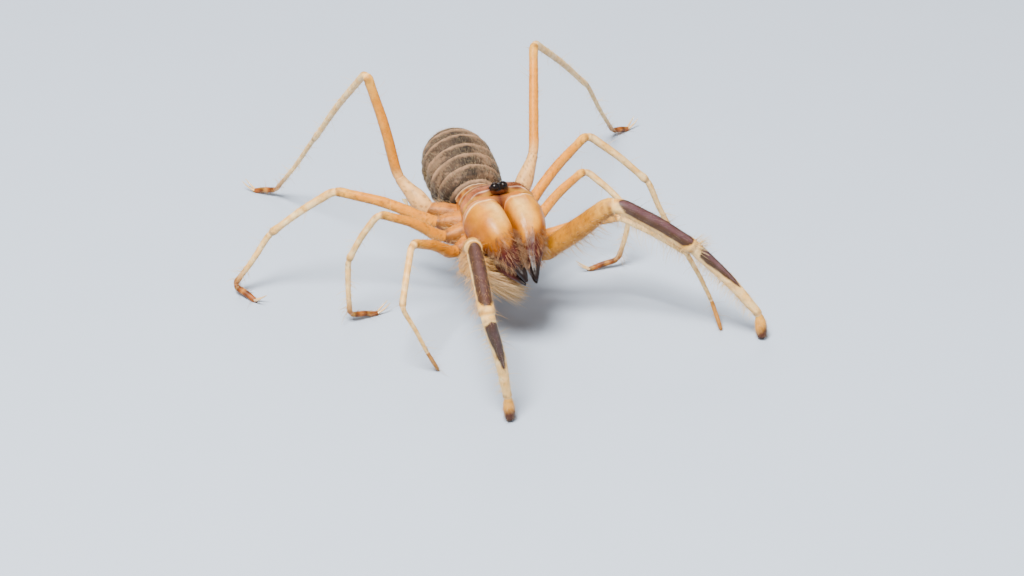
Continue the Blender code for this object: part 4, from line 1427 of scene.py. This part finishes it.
def racquets():
    """Stalked fan organs under the base of each hind leg."""
    fields = []
    t, aa = turned(np.linspace(0, 1, 26), 20)
    tip = np.clip((1.0 - t) / 0.07, 0, 1)
    fan = (0.10 + 0.62 * step(0.45, 0.92, t) ** 1.2) * np.sqrt(np.maximum(tip, 0.02))
    thin = 0.10 * (1 - 0.45 * t) * np.sqrt(np.maximum(tip, 0.05))
    for limb in LIMBS:
        if limb.pair != "leg4":
            continue
        places = [0.4, 1.65] + [float(limb.ends[0]) + 0.9 + 1.25 * i for i in range(3)]
        inside = -0.35 if limb.side == "left" else 0.35
        for s in places:
            centre, tangent, right, up = [row[0] for row in limb.frame_at(np.array([s]))]
            down = unit(unit(-up + tangent * 0.35) + np.array([inside, 0.0, -0.6]))
            rings = (centre - up * 0.5 + down * (RACQUET_LENGTH * t)[..., None]
                     + tangent * (fan * np.cos(aa))[..., None] + right * (thin * np.sin(aa))[..., None])
            fields.append(closed_sweep(rings))
    piece("racquet_organs", join_fields(fields), mix(CREAM, STRAW, 0.3), "claw")


# Coat. Every hair is a closed tapered prism, with a bake patch of this size at its root's place.
BAKE_PATCH = 0.003


def bake_place(u, v):
    """Places on the bake map, kept off its border."""
    return np.stack([u, v], axis=-1) * 0.98 + 0.005


def hair_faces(rings):
    """Faces of one hair, and the place of each corner on its bake patch."""
    quads = []
    tris = [(2, 1, 0)]
    patch = []
    for row in range(rings - 1):
        low = row / rings
        high = (row + 1) / rings
        for k in range(3):
            n = (k + 1) % 3
            quads.append((row * 3 + k, row * 3 + n, row * 3 + 3 + n, row * 3 + 3 + k))
            patch += [(k / 3, low), ((k + 1) / 3, low), ((k + 1) / 3, high), (k / 3, high)]
    patch += [(0, 0), (0.3, 0), (0.3, 0.1)]
    base = (rings - 1) * 3
    for k in range(3):
        tris.append((base + k, base + (k + 1) % 3, rings * 3))
        patch += [(k / 3, 1 - 1 / rings), ((k + 1) / 3, 1 - 1 / rings), ((k + 0.5) / 3, 1)]
    return np.array(quads), np.array(tris), np.array(patch) * BAKE_PATCH


# How much thinner a hair is at its last ring, and how much paler at its tip.
HAIR_TAPER = 0.80
HAIR_FADE = 0.25


def hairs(name, slot, root, way, length, wide, bend, tone, place, rings=5):
    """Bristles from roots along ways, bent by bend, all in mm."""
    count = len(root)
    t = np.linspace(0, 0.9, rings)
    way = unit(way)
    centre = root[:, None] + way[:, None] * (length[:, None] * t)[..., None]
    centre = centre + bend[:, None] * (length[:, None] * t ** 2)[..., None]
    tip = root + way * length[:, None] + bend * length[:, None]
    tangent = unit(way[:, None] + 2 * bend[:, None] * t[None, :, None])
    side = unit(np.cross(tangent, unit(RNG.normal(size=(count, 3)))[:, None]))
    other = np.cross(tangent, side)
    r = (wide[:, None] * (1 - HAIR_TAPER * t[None, :] ** 1.1))[..., None]
    verts = [centre + r * (side * math.cos(a) + other * math.sin(a)) for a in around(3)]
    grid = np.stack(verts, axis=2).reshape(count, rings * 3, 3)
    grid = np.concatenate([grid, tip[:, None]], axis=1)
    size = rings * 3 + 1
    quads, tris, patch = hair_faces(rings)
    start = (np.arange(count) * size)[:, None, None]
    faces = [(rows[None] + start).reshape(-1, rows.shape[1]) for rows in (quads, tris)]
    fade = HAIR_FADE * np.concatenate([np.repeat(t, 3), [1.0]])[None, :, None]
    colour = np.repeat(tone[:, None], size, axis=1) * (1 - fade) + HAIR_PALE * fade
    obj = new_object(name, (grid.reshape(-1, 3), faces), colour.reshape(-1, 3), MATS["hair"])
    corners = len(quads) * 4
    uv = [(place[:, None] + rows[None]).reshape(-1, 2) for rows in (patch[:corners], patch[corners:])]
    layer = obj.data.uv_layers.new(name="OFBake")
    layer.data.foreach_set("uv", np.clip(np.concatenate(uv), 0, 1).astype(np.float32).ravel())
    finish_piece(obj)


# Sectors round a limb: middle angle and half width, in radians.
ROUND = (math.pi / 2, math.pi)
UPPER = (math.pi / 2, 1.3)
UNDER = (-math.pi / 2, 1.0)

# Rows of a coat: segment, how many, from, to, length, half width, lean off the skin, sector.
PALP_COAT = (
    (0, 420, 0.05, 0.95, 0.65, 0.015, 0.45, ROUND),
    (0, 240, 0.15, 0.98, 1.3, 0.017, 0.80, UNDER),
    (1, 420, 0.04, 0.95, 0.55, 0.014, 0.40, ROUND),
    (1, 340, 0.08, 0.96, 1.5, 0.017, 0.85, UNDER),
    (2, 380, 0.03, 0.97, 0.55, 0.014, 0.40, ROUND),
    (2, 340, 0.05, 0.95, 1.4, 0.017, 0.85, UNDER),
    (3, 300, 0.05, 0.90, 0.5, 0.014, 0.55, ROUND),
    (0, 46, 0.25, 0.98, 3.0, 0.028, 0.90, UNDER),
    (1, 60, 0.08, 0.96, 3.2, 0.028, 0.92, UNDER),
    (2, 46, 0.05, 0.70, 2.6, 0.026, 0.90, UNDER),
    (1, 24, 0.05, 0.95, 2.2, 0.022, 0.80, ROUND),
    (2, 20, 0.05, 0.90, 2.0, 0.022, 0.80, ROUND),
)
LEFT_PALP_TUFT = (
    (1, 26, 0.94, 1.00, 1.7, 0.030, 0.95, UPPER),
    (2, 34, 0.00, 0.06, 2.1, 0.030, 0.92, UPPER),
)


def coat_plan(limb):
    """The rows of one limb's coat."""
    if limb.pair == "palp":
        return PALP_COAT + (LEFT_PALP_TUFT if limb.side == "left" else ())
    last = limb.count - 1
    rows = []
    for n in range(last + 1):
        length = limb.ends[n + 1] - limb.ends[n]
        rows.append((n, int(20 * length), 0.03, 0.97, 0.42, 0.012, 0.40, ROUND))
        rows.append((n, int(3 * length), 0.10, 0.97, 1.05, 0.018, 0.75, ROUND))
        rows.append((n, int(0.9 * length), 0.10, 0.97, 2.1, 0.022, 0.80, ROUND))
    if limb.pair != "leg1":
        rows.append((last - 1, 10, 0.55, 0.98, 1.7, 0.040, 0.75, UPPER))
        rows.append((last - 1, 12, 0.35, 0.98, 1.1, 0.040, 0.65, UNDER))
        rows.append((last, 14, 0.05, 0.85, 0.7, 0.032, 0.60, UNDER))
    rows.append((-1, 120, 0.35, 0.95, 0.8, 0.020, 0.50, ROUND))
    return rows


def limb_coat():
    """Sparse fine bristles on the legs, spines near their ends, and long hairs under the palps."""
    for limb in LIMBS:
        rows = []
        for segment, count, low, high, length, wide, lean, (middle, half) in coat_plan(limb):
            start = limb.ends[segment] if segment >= 0 else 0.0
            end = limb.ends[segment + 1]
            s = start + (end - start) * (low + (high - low) * RNG.random(count))
            a = middle + half * RNG.uniform(-1, 1, count)
            point, normal, tangent = limb.skin(s, a)
            way = unit(normal * lean + tangent * (1 - lean) + RNG.normal(size=(count, 3)) * 0.12)
            size = length * RNG.uniform(0.6, 1.25, count)
            thick = wide * RNG.uniform(0.8, 1.2, count)
            bend = tangent * 0.25 - normal * 0.10 + RNG.normal(size=(count, 3)) * 0.06
            fringe = 0.30 if limb.name == "right_palp" and segment < 2 else 0.0
            own = mix(limb.tone(s, a), FRINGE, fringe * 2.4)
            tone = mix(own, HAIR_PALE, (0.35 - fringe) * step(0.02, 0.25, own.mean(axis=-1)))
            place = np.stack([(limb.slot + 0.1 + 0.8 * (a % TURN) / TURN) / 10,
                              0.02 + 0.95 * s / limb.ends[-1]], axis=-1)
            rows.append((point - normal * 0.04, way, size, thick, bend, tone, place))
        hairs(limb.name + "_coat", "straw_cuticle", *[np.concatenate(column) for column in zip(*rows)])


def abdomen_coat():
    """Short flat hairs lying back over the hind body."""
    count = 8600
    t = RNG.uniform(0.02, 0.985, count)
    a = RNG.uniform(0, 2 * math.pi, count)
    point, tone = abdomen_point(t, a)
    tangent = unit(abdomen_point(np.minimum(t + 0.004, 1), a)[0] - point)
    normal = unit(np.cross(abdomen_point(t, a + 0.02)[0] - point, tangent))
    x0, _, z0 = abdomen_axis(t)
    out = np.stack([point[:, 0] - x0, np.zeros(count), point[:, 2] - z0], axis=-1)
    normal = normal * np.sign(np.sum(normal * out, axis=-1, keepdims=True))
    rear = np.array([0.08, 1.0, 0.08])
    back = unit(rear - normal * (normal @ rear)[:, None])
    way = back * 0.80 + normal * 0.42 + RNG.normal(size=(count, 3)) * 0.14
    length = RNG.uniform(0.28, 0.62, count)
    colour = mix(tone, HAIR_GREY, RNG.uniform(0.0, 0.35, count))
    hairs("hind_body_coat", "banded_abdomen", point - normal * 0.05, way, length,
          RNG.uniform(0.013, 0.020, count), back * 0.20 - normal * 0.18, colour,
          bake_place(a / (2 * math.pi), t), rings=4)


def jaw_coat():
    """Dark fine setae on the bulbs and pale bristles round the fingers."""
    count = 950
    for side, jaw in JAWS:
        rows, sides, _ = jaw.points.shape
        weight = np.where(jaw.y < -9.3, 2.6, 1.0) * (jaw.y > -13.6) * (jaw.y < -4.6)
        weight = weight * np.linalg.norm(np.roll(jaw.points, 1, axis=1) - jaw.points, axis=-1)
        pick = RNG.choice(rows * sides, size=count, p=(weight / weight.sum()).ravel())
        r = pick // sides
        k = pick % sides
        normal = jaw.normals[r, k]
        tangent = jaw.tangent[r, k]
        y = jaw.y[r, k]
        far = step(-8.6, -10.6, y)
        way = normal * 0.6 + tangent * 0.6 + RNG.normal(size=(count, 3)) * 0.16
        medial = step(0.3, -0.9, np.cos(jaw.angle[r, k]) * jaw.outside[r, 0])
        length = 0.34 + (0.85 + 0.75 * medial) * far * step(-13.9, -12.2, y)
        length = length * RNG.uniform(0.6, 1.3, count)
        pinkish = mix(HAIR_PINK, MAROON, RNG.random(count) ** 0.30)
        tone = mix(mix(AMBER_DEEP, BROWN, RNG.uniform(0, 1, count)), pinkish, far * 0.9)
        hairs(side + "_jaw_coat", "amber_cuticle", jaw.points[r, k] - normal * 0.05, way, length,
              0.014 + 0.013 * far, tangent * 0.22 - normal * 0.05, tone,
              bake_place(k / sides, r / rows))


def plate_coat():
    """Fine setae on the head plate, longer towards its front, and none on the eyes."""
    count = 520
    y = RNG.uniform(-3.4, 1.7, count)
    scale = knots(HEAD_SWELL, y)
    low = seam_angle(y, scale)
    b = low + (math.pi - 2 * low) * RNG.uniform(0.03, 0.97, count)
    point = plate_point(y, b, scale, head_rise(y, b))
    out = unit(np.stack([np.cos(b), np.zeros(count), np.sin(b)], axis=-1))
    forward = np.array([0, -1.0, 0])
    way = out * 0.8 + forward * 0.5 + RNG.normal(size=(count, 3)) * 0.2
    length = RNG.uniform(0.35, 0.75, count) * (1 + 0.9 * step(-2.4, -3.4, y))
    tone = mix(BROWN, HAIR_GOLD, RNG.uniform(0.2, 0.9, count))
    clear = np.hypot(point[:, 0], point[:, 1] - EYE_MIDDLE.y) > 1.15
    columns = (point - out * 0.05, way, length, np.full(count, 0.017),
               np.tile(forward * 0.2, (count, 1)), tone, bake_place(b / 3.2, (y + 3.7) / 6))
    hairs("head_plate_coat", "amber_cuticle", *[column[clear] for column in columns])


def brush_coat():
    """Fan of long pale bristles under the jaws, from the base of the right palp."""
    count = 1500
    i = RNG.uniform(-0.8, 3.8, count)
    root = np.stack([-5.3 - 0.1 * i, -7.2 - 0.6 * i, 10.8 + 0.4 * i], axis=-1)
    root = root + RNG.normal(size=(count, 3)) * np.array([0.30, 0.25, 0.30])
    way = np.stack([np.full(count, 0.95), -0.40 - 0.05 * i, -0.56 + 0.06 * i], axis=-1)
    way = way + RNG.normal(size=(count, 3)) * np.array([0.06, 0.14, 0.14])
    length = (8.2 - 0.4 * i) * RNG.uniform(0.60, 1.04, count)
    streak = 0.5 + 0.5 * np.sin(i * 9.0 + 1.0)
    tone = mix(BRUSH, BRUSH_DARK, streak ** 3 * 0.7 + RNG.random(count) ** 3 * 0.5)
    bend = np.array([0.05, 0, 0.0]) + RNG.normal(size=(count, 3)) * 0.02
    place = np.stack([0.85 + 0.03 * i, 0.20 + 0.02 * i], axis=-1)
    hairs("brush", "straw_cuticle", root, way, length, RNG.uniform(0.040, 0.065, count), bend, tone,
          place, rings=7)


def cheek_coat():
    """Ochre bristles that fill the place between the right palp and the jaws."""
    count = 620
    i = RNG.uniform(0, 1, count)
    root = np.stack([-4.7 + 0.5 * i, -5.9 - 2.6 * i, 12.7 + 0.3 * i], axis=-1)
    root = root + RNG.normal(size=(count, 3)) * np.array([0.25, 0.25, 0.35])
    way = np.array([0.80, -0.55, -0.24]) + RNG.normal(size=(count, 3)) * 0.13
    length = RNG.uniform(2.6, 4.6, count)
    tone = mix(HAIR_OCHRE, BROWN, RNG.random(count) ** 1.6)
    bend = np.tile(np.array([0.08, 0.0, -0.08]), (count, 1))
    place = np.stack([0.60 + 0.1 * i, 0.20 + 0.1 * i], axis=-1)
    hairs("cheek_brush", "straw_cuticle", root, way, length, RNG.uniform(0.030, 0.050, count), bend,
          tone, place, rings=6)


# Floor, lights and camera.
FLOOR_HALF = 1.6
FLOOR_TONES = ((0.41, 0.48, 0.60, 1), (0.43, 0.50, 0.62, 1))
# Lights: name, place in metres, size, power, colour.
LIGHTS = (
    ("key", (-0.20, -0.22, 0.58), 0.22, 15.2, (1.0, 0.97, 0.91)),
    ("fill", (0.50, -0.30, 0.30), 0.45, 1.2, (1.0, 0.96, 0.90)),
    ("back", (0.10, 0.55, 0.45), 0.40, 2.2, (1.0, 0.98, 0.95)),
)
LIT_POINT = Vector((0, 0, 0.012))
SKY_COLOUR = (0.93, 0.95, 1.0, 1)
SKY_STRENGTH = 0.17


def studio():
    """Pale floor, soft lights from above, and a soft grey sky."""
    mesh = bpy.data.meshes.new("floor")
    corners = [(x * FLOOR_HALF, y * FLOOR_HALF, 0) for x, y in ((-1, -1), (1, -1), (1, 1), (-1, 1))]
    mesh.from_pydata(corners, [], [(0, 1, 2, 3)])
    floor = bpy.data.objects.new("floor", mesh)
    bpy.context.collection.objects.link(floor)
    mat, tree, shader = material("floor_card")
    grain = noise_node(tree, scaled_place(tree), 0.05, 3.0)
    noise_colour(tree, shader, grain, *FLOOR_TONES)
    shader.inputs["Roughness"].default_value = 0.9
    mesh.materials.append(mat)
    for name, place, size, power, colour in LIGHTS:
        light = bpy.data.lights.new(name, "AREA")
        light.size = size
        light.energy = power
        light.color = colour
        obj = bpy.data.objects.new(name, light)
        obj.location = place
        obj.rotation_euler = (LIT_POINT - Vector(place)).to_track_quat("-Z", "Y").to_euler()
        bpy.context.collection.objects.link(obj)
    world = bpy.data.worlds.new("sky")
    bpy.context.scene.world = world
    world.use_nodes = True
    sky = world.node_tree.nodes["Background"]
    sky.inputs["Color"].default_value = SKY_COLOUR
    sky.inputs["Strength"].default_value = SKY_STRENGTH


# Size of the photograph, focal length and the place of the aimed point in it, all in pixels.
PHOTO_WIDE = 1024
PHOTO_HIGH = 576
FOCAL = 2628.0
AIM_X = 490
AIM_Y = 215
# Where the camera stands: degrees round and up, and mm from the aimed point.
CAMERA_ROUND = -20
CAMERA_UP = 30
CAMERA_FAR = 365.0
AIM = Vector((0, 0, 15))


def camera():
    """The photograph's view: 20 degrees to the animal's right of straight ahead, 30 above."""
    azimuth = math.radians(CAMERA_ROUND)
    elevation = math.radians(CAMERA_UP)
    right = Vector((math.cos(azimuth), math.sin(azimuth), 0))
    back = Vector((math.sin(azimuth) * math.cos(elevation), -math.cos(azimuth) * math.cos(elevation),
                   math.sin(elevation)))
    base = Matrix((right, back.cross(right), back)).transposed()
    pixel = Vector(((AIM_X - PHOTO_WIDE / 2) / FOCAL, (PHOTO_HIGH / 2 - AIM_Y) / FOCAL, -1)).normalized()
    turn = (base @ pixel).rotation_difference(-back).to_matrix()
    data = bpy.data.cameras.new("camera")
    data.sensor_width = 36
    data.lens = FOCAL * data.sensor_width / PHOTO_WIDE
    data.clip_start = 0.01
    data.clip_end = 10
    obj = bpy.data.objects.new("camera", data)
    place = (AIM + back * CAMERA_FAR + SHIFT) * MM
    obj.matrix_world = Matrix.Translation(place) @ (turn @ base).to_4x4()
    bpy.context.collection.objects.link(obj)
    bpy.context.scene.camera = obj


# Everything in its order. All the coats draw from one run of random numbers.
for build in (flesh, plates, eyes, eye_mound, jaws, abdomen, claws, racquets,
              limb_coat, abdomen_coat, jaw_coat, plate_coat, brush_coat, cheek_coat,
              studio, camera):
    build()
